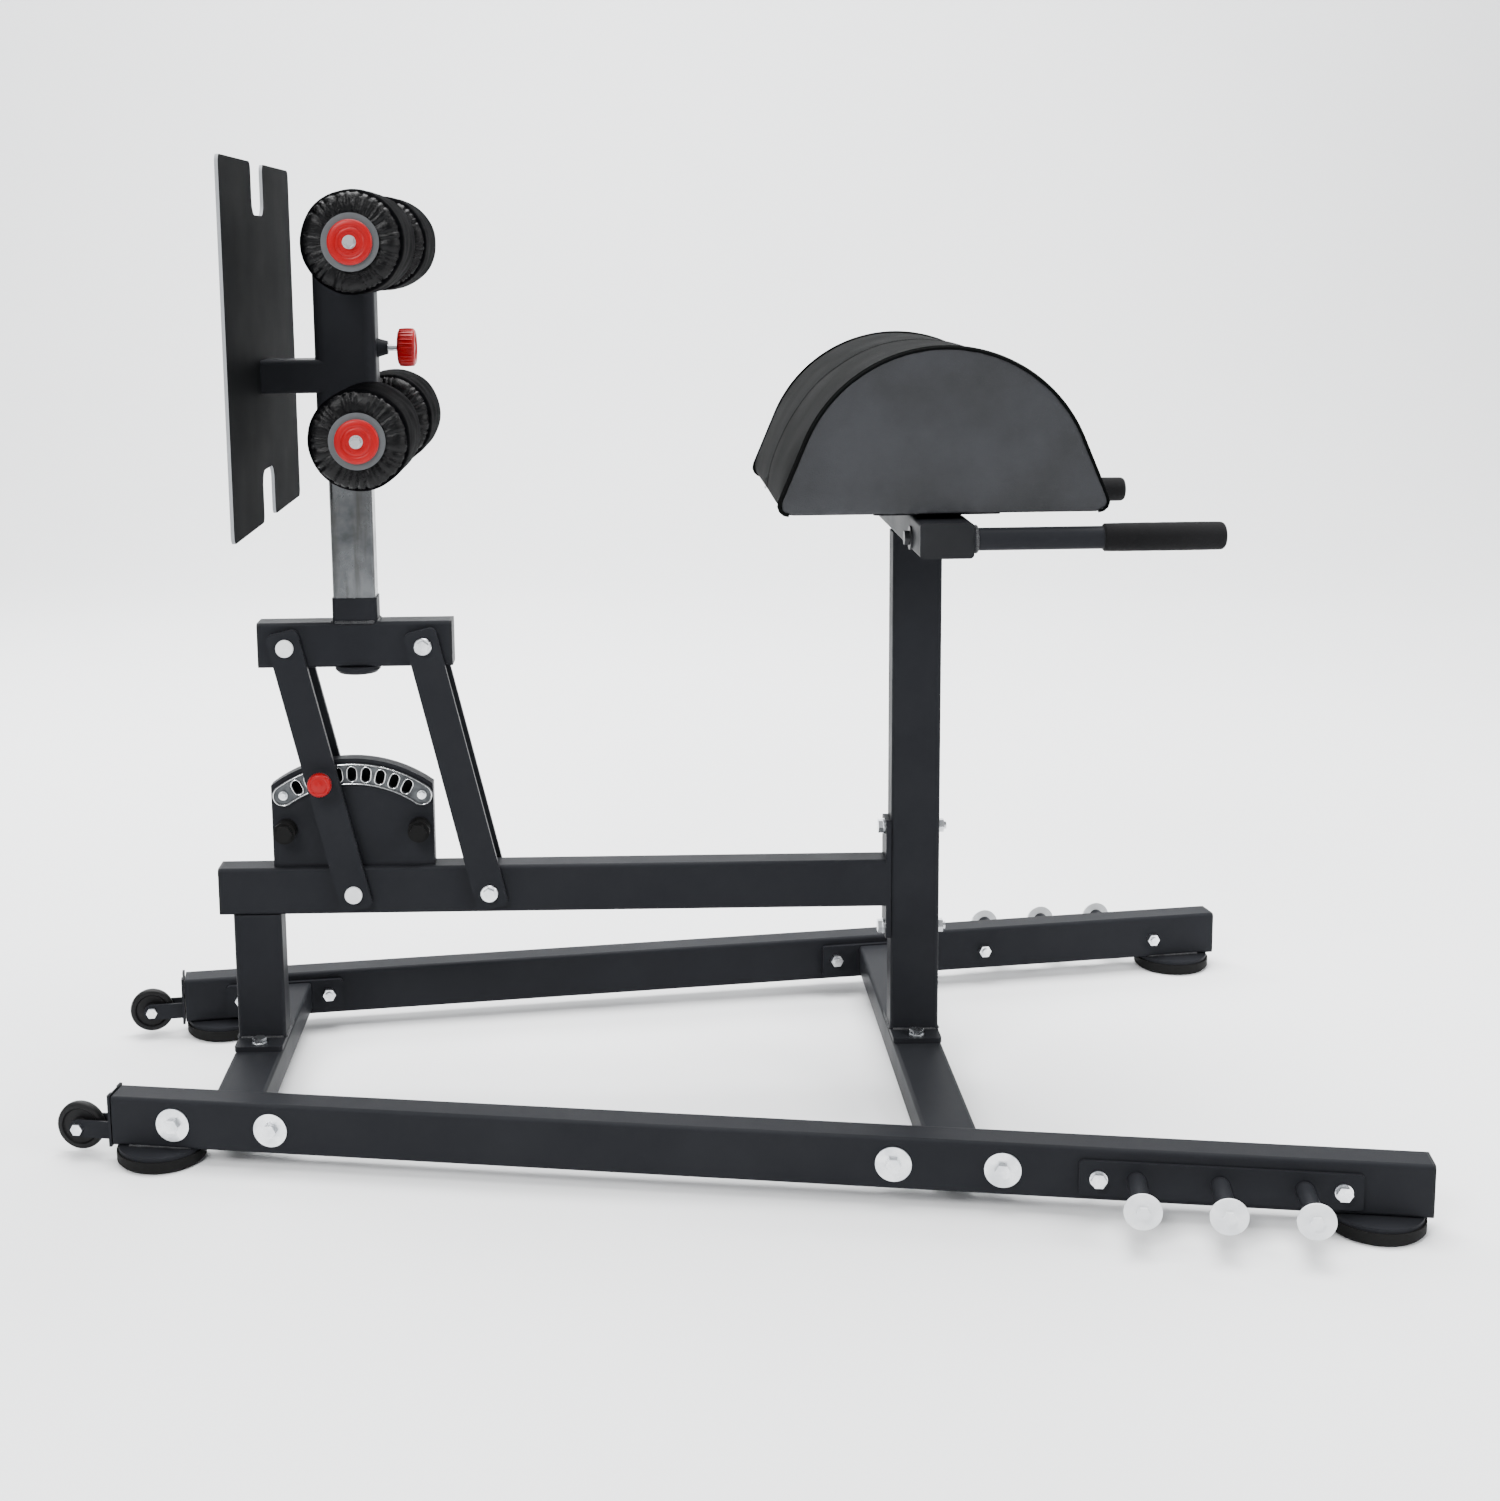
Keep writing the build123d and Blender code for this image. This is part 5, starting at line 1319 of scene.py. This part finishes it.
        # The groove and the raised ring inside it, as shares of the cap's radius and height.
        groove = ((0.72, 0.74), (0.7, 0.7), (0.66, 0.7), (0.64, 0.78))
        ring = ((0.6, 0.92), (0.54, 0.95), (0.5, 0.94), (0.47, 0.84), (0.42, 0.84))
        turned = [(radius * f, height * g) for f, g in groove + ring]
        profile = rise + dome + turned + [(bore, seat), (bore, 0.0)]
        parts, seats = [], []
        cap_low, cap_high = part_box("roller_caps")
        for name, side in self.places():
            low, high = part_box(name)
            middle = (low + high) / 2
            way = Vector((0, side.value, 0))
            outer = cap_low.y if side is Side.RIGHT else cap_high.y
            base = Vector((middle.x, outer - side.value * height, middle.z))
            parts.append(revolved(profile, 72, along_axis(base, way)))
            seats.append((base + way * seat, way))
        caps = mesh_from("roller_end_caps", *gathered(parts))
        smooth(dress(caps, RED_ABS))
        settle(caps, "sleeve", Slot.RED, "roller_caps")
        bolts = BOLTS.fit(
            "roller_end_bolts", seats,
            Across=13 * MM, Head=6 * MM, Washer=9.5 * MM, Washer_Thickness=1.8 * MM,
        )
        settle(bolts, "sleeve", Slot.ZINC, "roller_bolts")


@dataclass
class Grips:
    """Foam grips on the two handles.

    Attributes:
        rounding: Radius at the outer end.
        heel: Chamfer at the inner end.
        wall: Thickness of the foam round the tube.
        cap: Thickness of the foam over the tube's end.
        swell: How far the foam stands proud in its middle.
        rows: Steps along the grip.
    """

    rounding: float = 7 * MM
    heel: float = 2.5 * MM
    wall: float = 3.3 * MM
    cap: float = 3 * MM
    swell: float = 0.5 * MM
    rows: int = 24

    def build(self) -> None:
        """Makes both grips and settles them on the base."""
        for side in Side:
            name = f"{side.name.lower()}_grip"
            low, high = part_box(name)
            radius, length = (high.y - low.y) / 2, high.x - low.x
            bore, inner_end = radius - self.wall, length - self.cap
            start = [(radius - self.heel, 0.0), (radius, self.heel)]
            body = [
                (radius + self.proud(row), length * row / self.rows) for row in range(2, self.rows - 1)
            ]
            end = [
                (radius - self.rounding * (1 - math.sin(a)), length - self.rounding * (1 - math.cos(a)))
                for a in (math.pi / 2 * i / 6 for i in range(6, -1, -1))
            ]
            hollow = [(0.0, length), (0.0, inner_end), (bore, inner_end)]
            profile = [(bore, 0.0)] + start + body + end + hollow
            middle = (low + high) / 2
            place = along_axis(Vector((low.x, middle.y, middle.z)), Vector((1, 0, 0)))
            piece = mesh_from(name + "_foam", *revolved(profile, 64, place))
            smooth(dress(piece, GRIP_FOAM))
            settle(piece, "base", Slot.GRIP, name)

    def proud(self, row: int) -> float:
        """Returns how far the foam stands proud at a row: most in the middle, a little uneven."""
        uneven = 0.8 + 0.2 * math.sin(row * 1.7)
        return self.swell * math.sin(math.pi * row / self.rows) ** 0.5 * uneven


@dataclass
class Knobs:
    """The two red hand knobs of the lock pins.

    Attributes:
        ridge: Radius of a rim ridge.
        count: Ridges round a knob.
        bore: Radius of the hole for the plunger.
        face: Depth of the dish in its face, as a share of the knob's length.
        blind: End of the hole, as a share of it.
    """

    ridge: float = 1.5 * MM
    count: int = 28
    bore: float = 4.9 * MM
    face: float = 0.95
    blind: float = 0.55

    def build(self) -> None:
        """Makes both knobs and settles them on their pins."""
        self.knob("sleeve_knob", "height_pin", Vector((1, 0, 0)))
        self.knob("lock_knob", "angle_pin", Vector((0, -1, 0)))

    def knob(self, node: str, body: str, way: Vector) -> None:
        """Makes one knob: turned body with a dished face, and ridges round its rim.

        Args:
            node: The CAD node that it replaces.
            body: The CAD body that it rides on.
            way: The way that its face looks.
        """
        low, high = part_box(node)
        size = high - low
        length = abs(size.dot(way))
        radius = (sum(size) - length) / 4 - self.ridge
        middle = (low + high) / 2
        base = middle - way * (length / 2)
        # Shares of the radius and the length, from the hole over the rim to the dished face.
        shape = [
            (0.72, 0.0), (0.86, 0.02), (0.93, 0.06), (0.97, 0.12), (0.99, 0.2), (1.0, 0.3),
            (1.0, 0.84), (0.985, 0.9), (0.94, 0.96), (0.88, 0.995), (0.8, 1.0),
            (0.74, 0.97), (0.7, 0.9), (0.3, 0.9), (0.26, 0.93), (0.2, 0.95),
        ]
        profile = [(self.bore, 0.0)] + [(r * radius, h * length) for r, h in shape]
        profile += [(0.0, self.face * length), (0.0, self.blind * length), (self.bore, self.blind * length)]
        body_piece = mesh_from(node + "_body", *revolved(profile, 84, along_axis(base, way)))
        smooth(dress(body_piece, RED_ABS))
        settle(body_piece, body, Slot.RED, node)
        host = mesh_from(node + "_host", [(0, 0, 0), (MM, 0, 0), (0, MM, 0)], [(0, 1, 2)])
        ridges = RIDGES.run(
            node + "_ridges", host,
            Count=self.count, Ring=radius - 0.1 * MM, Ridge=self.ridge, Length=0.84 * length,
        )
        ridges.data.transform(along_axis(base + way * (0.5 * length), way))
        settle(ridges, body, Slot.RED)


@dataclass
class Wheels:
    """The two transport wheels, each with a crowned tread and dished sides.

    Attributes:
        hub: Radius of the hub.
        bore: Radius of the hole for the axle.
        narrowest: Least half width of a wheel.
        widest: Most half width of one.
    """

    hub: float = 11 * MM
    bore: float = 5.3 * MM
    narrowest: float = 8 * MM
    widest: float = 10 * MM

    def build(self) -> None:
        """Makes both wheels and settles them on their bodies."""
        for joint in frame["joints"]:
            if not joint["name"].endswith("_wheel_spin"):
                continue
            name = joint["child"]
            low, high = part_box(name)
            radius = (high.z - low.z) / 2
            centre, axis = Vector(joint["pos_m"]), Vector(joint["axis"])
            width = ((high.x - low.x) - 2 * radius * abs(axis.y)) / max(abs(axis.x), 1e-6)
            half = min(max(width / 2, self.narrowest), self.widest)
            side = [
                (self.bore, half), (self.hub, half),
                (self.hub + 0.8 * MM, half - 1 * MM), (self.hub + 1.5 * MM, 0.45 * half),
            ]
            # The dish and the crowned tread, as shares of the radius and the half width.
            crown = (
                (0.7, 0.45), (0.74, 0.6), (0.77, 0.86), (0.86, 0.9), (0.94, 0.8), (0.985, 0.55), (1.0, 0.2),
            )
            side += [(radius * f, half * g) for f, g in crown]
            profile = side + [(r, -h) for r, h in reversed(side)]
            piece = mesh_from(name + "_turned", *revolved(profile, 72, along_axis(centre, axis)))
            smooth(dress(piece, WHEEL_TREAD))
            settle(piece, name, Slot.WHEEL, name)


@dataclass
class Welds:
    """Weld beads where plates and tubes meet.

    Attributes:
        pitch: Distance from ripple to ripple.
        ripple: Length of a ripple.
        leg: Width of a bead.
        trim: How far a bead stops short of a tube's corner.
        flange: Thickness of the posts' foot flanges.
        handle: Radius of the bead round a handle.
        inset: How far a bead starts inside its plate's edge.
        beam_height: Height of the main beam.
        plate_middle: Distance from a rail's end to the middle of its foot plate.
        foot_bead: Half of the length of a bead on a foot plate.
        post_half: Half of a post tube's section along X and Y.
    """

    pitch: float = 2.6 * MM
    ripple: float = 4.4 * MM
    leg: float = 5.5 * MM
    trim: float = 6 * MM
    flange: float = 8 * MM
    handle: float = 17.5 * MM
    inset: float = 4 * MM
    beam_height: float = 75 * MM
    plate_middle: float = 65 * MM
    foot_bead: float = 45 * MM
    post_half: tuple[float, float] = (37.5 * MM, 25 * MM)

    def ring(self, low: Vector, high: Vector, level: float, axis: str) -> list[list[Vector]]:
        """Four lines round a rectangular tube.

        Args:
            low: The tube's lowest corner.
            high: The tube's highest corner.
            level: Place along the axis.
            axis: The tube's direction, X, Y or Z.

        Returns:
            Four paths.
        """
        a, b = [i for i in range(3) if i != "XYZ".index(axis)]
        corners = []
        for first, second in ((low, low), (high, low), (high, high), (low, high)):
            place = Vector((level, level, level))
            place[a], place[b] = first[a], second[b]
            corners.append(place)
        paths = []
        for start, end in zip(corners, corners[1:] + corners[:1]):
            trim = (end - start).normalized() * self.trim
            paths.append([start + trim, end - trim])
        return paths

    def build(self) -> None:
        """Lays the beads of each body as one piece."""
        sizes = {"Pitch": self.pitch, "Length": self.ripple, "Width": self.leg, "Height": self.leg}
        base = []
        for name in ("rear_post", "main_post"):
            low, high = self.stem(name)
            base += self.ring(low, high, low.z + self.flange, "Z")
        for side in Side:
            low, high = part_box(f"{side.name.lower()}_handle")
            start = Vector((low.x + self.inset, (low.y + high.y) / 2, (low.z + high.z) / 2))
            turns = [math.pi * i / 12 for i in range(25)]
            base.append([start + self.handle * Vector((0, math.cos(a), math.sin(a))) for a in turns])
        low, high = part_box("quadrant")
        beam_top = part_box("main_beam")[0].z + self.beam_height
        for y in (low.y, high.y):
            base.append([Vector((x, y, beam_top)) for x in (low.x + self.inset, high.x - self.inset)])
        base += self.foot_beads()
        settle(WELDS.lay("frame_welds", base, **sizes), "base", Slot.PAINT)
        low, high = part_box("upright_collar")
        carriage = self.ring(low, high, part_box("carriage_bar")[1].z, "Z")
        settle(WELDS.lay("carriage_welds", carriage, **sizes), "carriage", Slot.PAINT)

    def stem(self, name: str) -> tuple[Vector, Vector]:
        """Returns the box of a post's tube, without its plates."""
        low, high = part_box(name)
        middle = (low + high) / 2
        size = Vector((*self.post_half, 0))
        return Vector((middle.x, 0, low.z)) - size, Vector((middle.x, 0, high.z)) + size

    def foot_beads(self) -> list[list[Vector]]:
        """Returns beads where each rail stands on its foot plates, along the rail's sides."""
        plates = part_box("foot_plates")
        paths = []
        for side in Side:
            rail = coordinates(frame["nodes"][f"{side.name.lower()}_rail"])
            bottom = rail[:, 2].min()
            rear, front = rail[rail[:, 0].argmin()], rail[rail[:, 0].argmax()]
            along = Vector((front[0] - rear[0], front[1] - rear[1], 0)).normalized()
            for end, sign in ((plates[0].x, 1), (plates[1].x, -1)):
                centre_x = end + sign * self.plate_middle
                middle_y = side.value * (abs(rear[1]) + (centre_x - rear[0]) * abs(along.y / along.x))
                centre = Vector((centre_x, middle_y, bottom + 1 * MM))
                paths.append([centre + along * way * self.foot_bead for way in (-1, 1)])
        return paths


@dataclass
class PositionArc:
    """The cast position arc's bright rims, slot rings and screws, and the front links' bolts.

    Attributes:
        radius: Radius of the slots' circle.
        width: Width of the strip.
        pitch: Angle from slot to slot, in radians.
        first: Angle of the rearmost slot from upright, in radians.
        slots: Number of slots.
        slot_length: Length of a slot, along the radius.
        slot_width: Width of a slot.
        screw_spread: Angle of each screw from the strip's middle, in radians.
        line: Radius of a raised line.
        rim_inset: Distance of the rim's line inside the strip's edge.
        ring_gap: Distance of a ring's line outside its slot.
        seat: Height of the screws' seats on the strip.
        sunk: How far the front links' bolts are sunk on their pins.
    """

    radius: float = 188 * MM
    width: float = 34 * MM
    pitch: float = math.radians(6.75)
    first: float = math.radians(-26.7)
    slots: int = 9
    slot_length: float = 22 * MM
    slot_width: float = 13 * MM
    screw_spread: float = math.radians(35)
    line: float = 0.9 * MM
    rim_inset: float = 1.6 * MM
    ring_gap: float = 1.2 * MM
    seat: float = 1.5 * MM
    sunk: float = 0.6 * MM

    def build(self) -> None:
        """Makes the raised lines, the screws and the bolts."""
        pivots = {joint["name"]: Vector(joint["pos_m"]) for joint in frame["joints"] if "pos_m" in joint}
        self.pivot = pivots["rear_link_pivot"]
        self.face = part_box("position_arc")[0].y
        middle = self.first + self.pitch * (self.slots - 1) / 2
        lines = [self.strip(middle)]
        lines += [self.ring(self.first + self.pitch * i) for i in range(self.slots)]
        piece = mesh_from("position_arc_rims", *gathered([swept(path, self.line, 8) for path in lines]))
        smooth(dress(piece, POLISHED_RIM))
        settle(piece, "base", Slot.ARC)
        seat_y = self.face + self.seat
        seats = []
        for sign in (-1, 1):
            place = self.at(middle + sign * self.screw_spread, self.radius)
            seats.append((Vector((place.x, seat_y, place.z)), Vector((0, -1, 0))))
        screws = BOLTS.fit(
            "position_arc_screws", seats,
            Across=10 * MM, Head=4.5 * MM, Washer=7 * MM, Washer_Thickness=1.4 * MM,
        )
        settle(screws, "base", Slot.ZINC, "arc_screws")
        low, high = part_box("front_link_pins")
        seats = []
        for y, way in ((low.y, -1), (high.y, 1)):
            for pin in (pivots["front_link_pivot"], self.upper_pin(pivots)):
                seats.append((Vector((pin.x, y - way * self.sunk, pin.z)), Vector((0, way, 0))))
        bolts = BOLTS.fit(
            "front_link_bolts", seats,
            Across=17 * MM, Head=5 * MM, Washer=12.4 * MM, Washer_Thickness=1.2 * MM,
        )
        settle(bolts, "front_link", Slot.ZINC)

    @staticmethod
    def upper_pin(pivots: dict[str, Vector]) -> Vector:
        """Returns the front link's upper pin, which makes a parallelogram with the other three."""
        return pivots["carriage_pivot"] + pivots["front_link_pivot"] - pivots["rear_link_pivot"]

    def at(self, angle: float, radius: float) -> Vector:
        """Returns a place on the strip's face, by its angle from upright and its radius."""
        x, z = radius * math.sin(angle), radius * math.cos(angle)
        return Vector((self.pivot.x + x, self.face - 0.1 * MM, self.pivot.z + z))

    def strip(self, middle: float) -> list[Vector]:
        """Traces the strip's rim, with its round ends."""
        half = self.width / 2 - self.rim_inset
        reach, steps = self.screw_spread, 48
        angles = [middle - reach + 2 * reach * i / steps for i in range(steps + 1)]
        outer = [self.at(angle, self.radius + half) for angle in angles]
        inner = [self.at(angle, self.radius - half) for angle in reversed(angles)]
        ends = []
        for sign in (1, -1):
            centre = self.at(middle + sign * reach, self.radius)
            out = self.at(middle + sign * reach, self.radius + 1.0) - centre
            along = Vector((out.z, 0, -out.x)) * sign
            turns = [math.pi * i / 12 for i in range(1, 12)]
            ends.append([centre + (out * sign * math.cos(t) + along * math.sin(t)) * half for t in turns])
        return outer + ends[0] + inner + ends[1] + outer[:1]

    def ring(self, angle: float) -> list[Vector]:
        """Traces the raised ring round one slot."""
        out = (self.at(angle, 1.0) - self.at(angle, 0.0)).normalized()
        across = Vector((out.z, 0, -out.x))
        centre = self.at(angle, self.radius)
        radius = self.slot_width / 2 + self.ring_gap
        straight = self.slot_length / 2 - self.slot_width / 2
        path = []
        for sign in (1, -1):
            for turn in (math.pi * i / 12 for i in range(13)):
                away = out * (straight + radius * math.sin(turn))
                path.append(centre + (away + across * radius * math.cos(turn)) * sign)
        return path + path[:1]


# ---- CAD nodes that keep their own shape ----
KEPT_NODES: dict[Finish, tuple[Slot, str]] = {
    POWDER_COAT: (
        Slot.PAINT,
        "right_rail left_rail foot_plates wheel_brackets rear_crossbeam front_crossbeam right_peg_rack "
        "left_peg_rack rear_post main_post main_beam handle_crossbar right_handle left_handle quadrant "
        "rear_link_right rear_link_left front_link_right front_link_left carriage_bar upright_collar sleeve",
    ),
    COATED_PLATE: (Slot.PAINT, "footplate"),
    ZINC_PLATE: (
        Slot.ZINC,
        "wheel_axle_bolts crossbeam_bolts frame_bolts front_link_pins lock_housing lock_plunger "
        "sleeve_plunger roller_axles",
    ),
    BLACK_ZINC: (Slot.ZINC, "crossbar_bolts"),
    NYLON: (Slot.ZINC, "peg_end_washers rear_link_pins"),
    DRAWN_STEEL: (Slot.STEEL, "upright"),
    CAST_ALUMINIUM: (Slot.ARC, "position_arc"),
    GREY_PP: (Slot.GREY, "upper_right_hub upper_left_hub lower_right_hub lower_left_hub"),
    BLACK_PP: (Slot.BLACK, "frame_plugs carriage_plugs sleeve_liners"),
    RUBBER: (Slot.RUBBER, "feet bumpers"),
}


def dress_frame() -> None:
    """Gives every CAD node that stays its finish."""
    for finish, (slot, names) in KEPT_NODES.items():
        material = FINISHES.get(finish)
        for name in names.split():
            node = frame["nodes"][name]
            if not node.material_slots:
                node.data.materials.append(material)
            for place in node.material_slots:
                place.material = material
            LOG.info("%s is finished in %s", name, finish.name)


# ---- studio ----
@dataclass
class Studio:
    """Floor, soft lights and camera.

    Attributes:
        reach: Half of the sheet's width.
        sweep_start: Y where the sheet starts to curve up.
        sweep_radius: Radius of that curve.
        wall_top: Height of the sheet's top.
        lens: Focal length, in millimetres on a 36 mm sensor.
        place: Where the camera stands.
        turn: The camera's turn about the upright axis, in degrees.
        dip: How far the camera looks down, in degrees.
        roll: The camera's roll, in degrees.
        shift: The lens's sideways and upward shift.
        air: Strength of the light from all round.
        aim: What the machine's lamps look at.
        lamps: Each lamp's name, place, side and power in watts.
    """

    reach: float = 30.0
    sweep_start: float = 5.0
    sweep_radius: float = 3.0
    wall_top: float = 14.0
    lens: float = 49.33
    place: Point = (-0.1074, -3.1159, 1.3055)
    turn: float = 0.484
    dip: float = 9.033
    roll: float = -0.932
    shift: tuple[float, float] = (0.0975, -0.1127)
    air: float = 0.45
    aim: Point = (0.0, 0.0, 0.7)
    lamps: tuple[tuple[str, Point, float, float], ...] = (
        ("key_light", (-2.0, -3.8, 3.8), 1.8, 260.0),
        ("side_light", (3.8, -2.0, 2.4), 1.5, 120.0),
        ("top_light", (0.3, 0.2, 5.2), 3.6, 420.0),
        ("back_light", (-2.5, 3.4, 3.4), 1.6, 120.0),
    )

    def build(self) -> None:
        """Makes the floor, the lights and the camera."""
        edge, steps = self.reach, 24
        line = [(-edge, 0.0), (self.sweep_start, 0.0)]
        line += [
            (self.sweep_start + self.sweep_radius * math.sin(a), self.sweep_radius * (1 - math.cos(a)))
            for a in (math.pi / 2 * i / steps for i in range(1, steps + 1))
        ]
        line.append((self.sweep_start + self.sweep_radius, self.wall_top))
        points = [(x, y, z) for x in (-edge, edge) for y, z in line]
        count = len(line)
        faces = [(i, count + i, count + i + 1, i + 1) for i in range(count - 1)]
        floor = mesh_from("studio_sheet", points, faces)
        smooth(dress(floor, STUDIO_PAPER), math.pi)
        world = bpy.data.worlds.new("studio_air")
        bpy.context.scene.world = world
        world.use_nodes = True
        sky = world.node_tree.nodes["Background"].inputs
        sky["Color"].default_value = linear("#f4f6f8")
        sky["Strength"].default_value = self.air
        for name, place, size, power in self.lamps:
            self.lamp(name, place, self.aim, size, power)
        self.lamp("sheet_light", (0.0, 2.8, 7.5), (0.0, 8.0, 2.0), 6.0, 1500.0)
        lens = bpy.data.cameras.new("camera")
        lens.lens, lens.sensor_width = self.lens, 36.0
        lens.shift_x, lens.shift_y = self.shift
        camera = bpy.data.objects.new("camera", lens)
        camera.matrix_world = (
            Matrix.Translation(self.place)
            @ Matrix.Rotation(math.radians(self.turn), 4, "Z")
            @ Matrix.Rotation(math.radians(90 - self.dip), 4, "X")
            @ Matrix.Rotation(math.radians(self.roll), 4, "Z")
        )
        bpy.context.scene.collection.objects.link(camera)
        bpy.context.scene.camera = camera

    @staticmethod
    def lamp(name: str, place: Point, aim: Point, size: float, power: float) -> None:
        """Makes one soft square light.

        Args:
            name: The light's name.
            place: Where it stands.
            aim: What it looks at.
            size: Its side.
            power: Its power in watts.
        """
        light = bpy.data.lights.new(name, "AREA")
        light.shape, light.size, light.energy = "SQUARE", size, power
        lamp = bpy.data.objects.new(name, light)
        way = Vector(aim) - Vector(place)
        lamp.matrix_world = Matrix.Translation(place) @ way.to_track_quat("-Z", "Y").to_matrix().to_4x4()
        bpy.context.scene.collection.objects.link(lamp)


STITCHES = BeadTool("seam_stitches", THREAD)
WELDS = BeadTool("weld_beads", COATED_WELD)
RIDGES = RidgeTool(RED_ABS)
BOLTS = BoltTool(ZINC_PLATE)


def main() -> None:
    """Builds every sub-assembly in order."""
    logging.basicConfig(level=logging.INFO, format="%(name)s: %(message)s")
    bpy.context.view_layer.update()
    dress_frame()
    for part in (Studio(), Wheels(), Welds(), Grips(), Knobs(), PositionArc(), Rollers(), HipPad()):
        part.build()


if __name__ == "__main__":
    main()
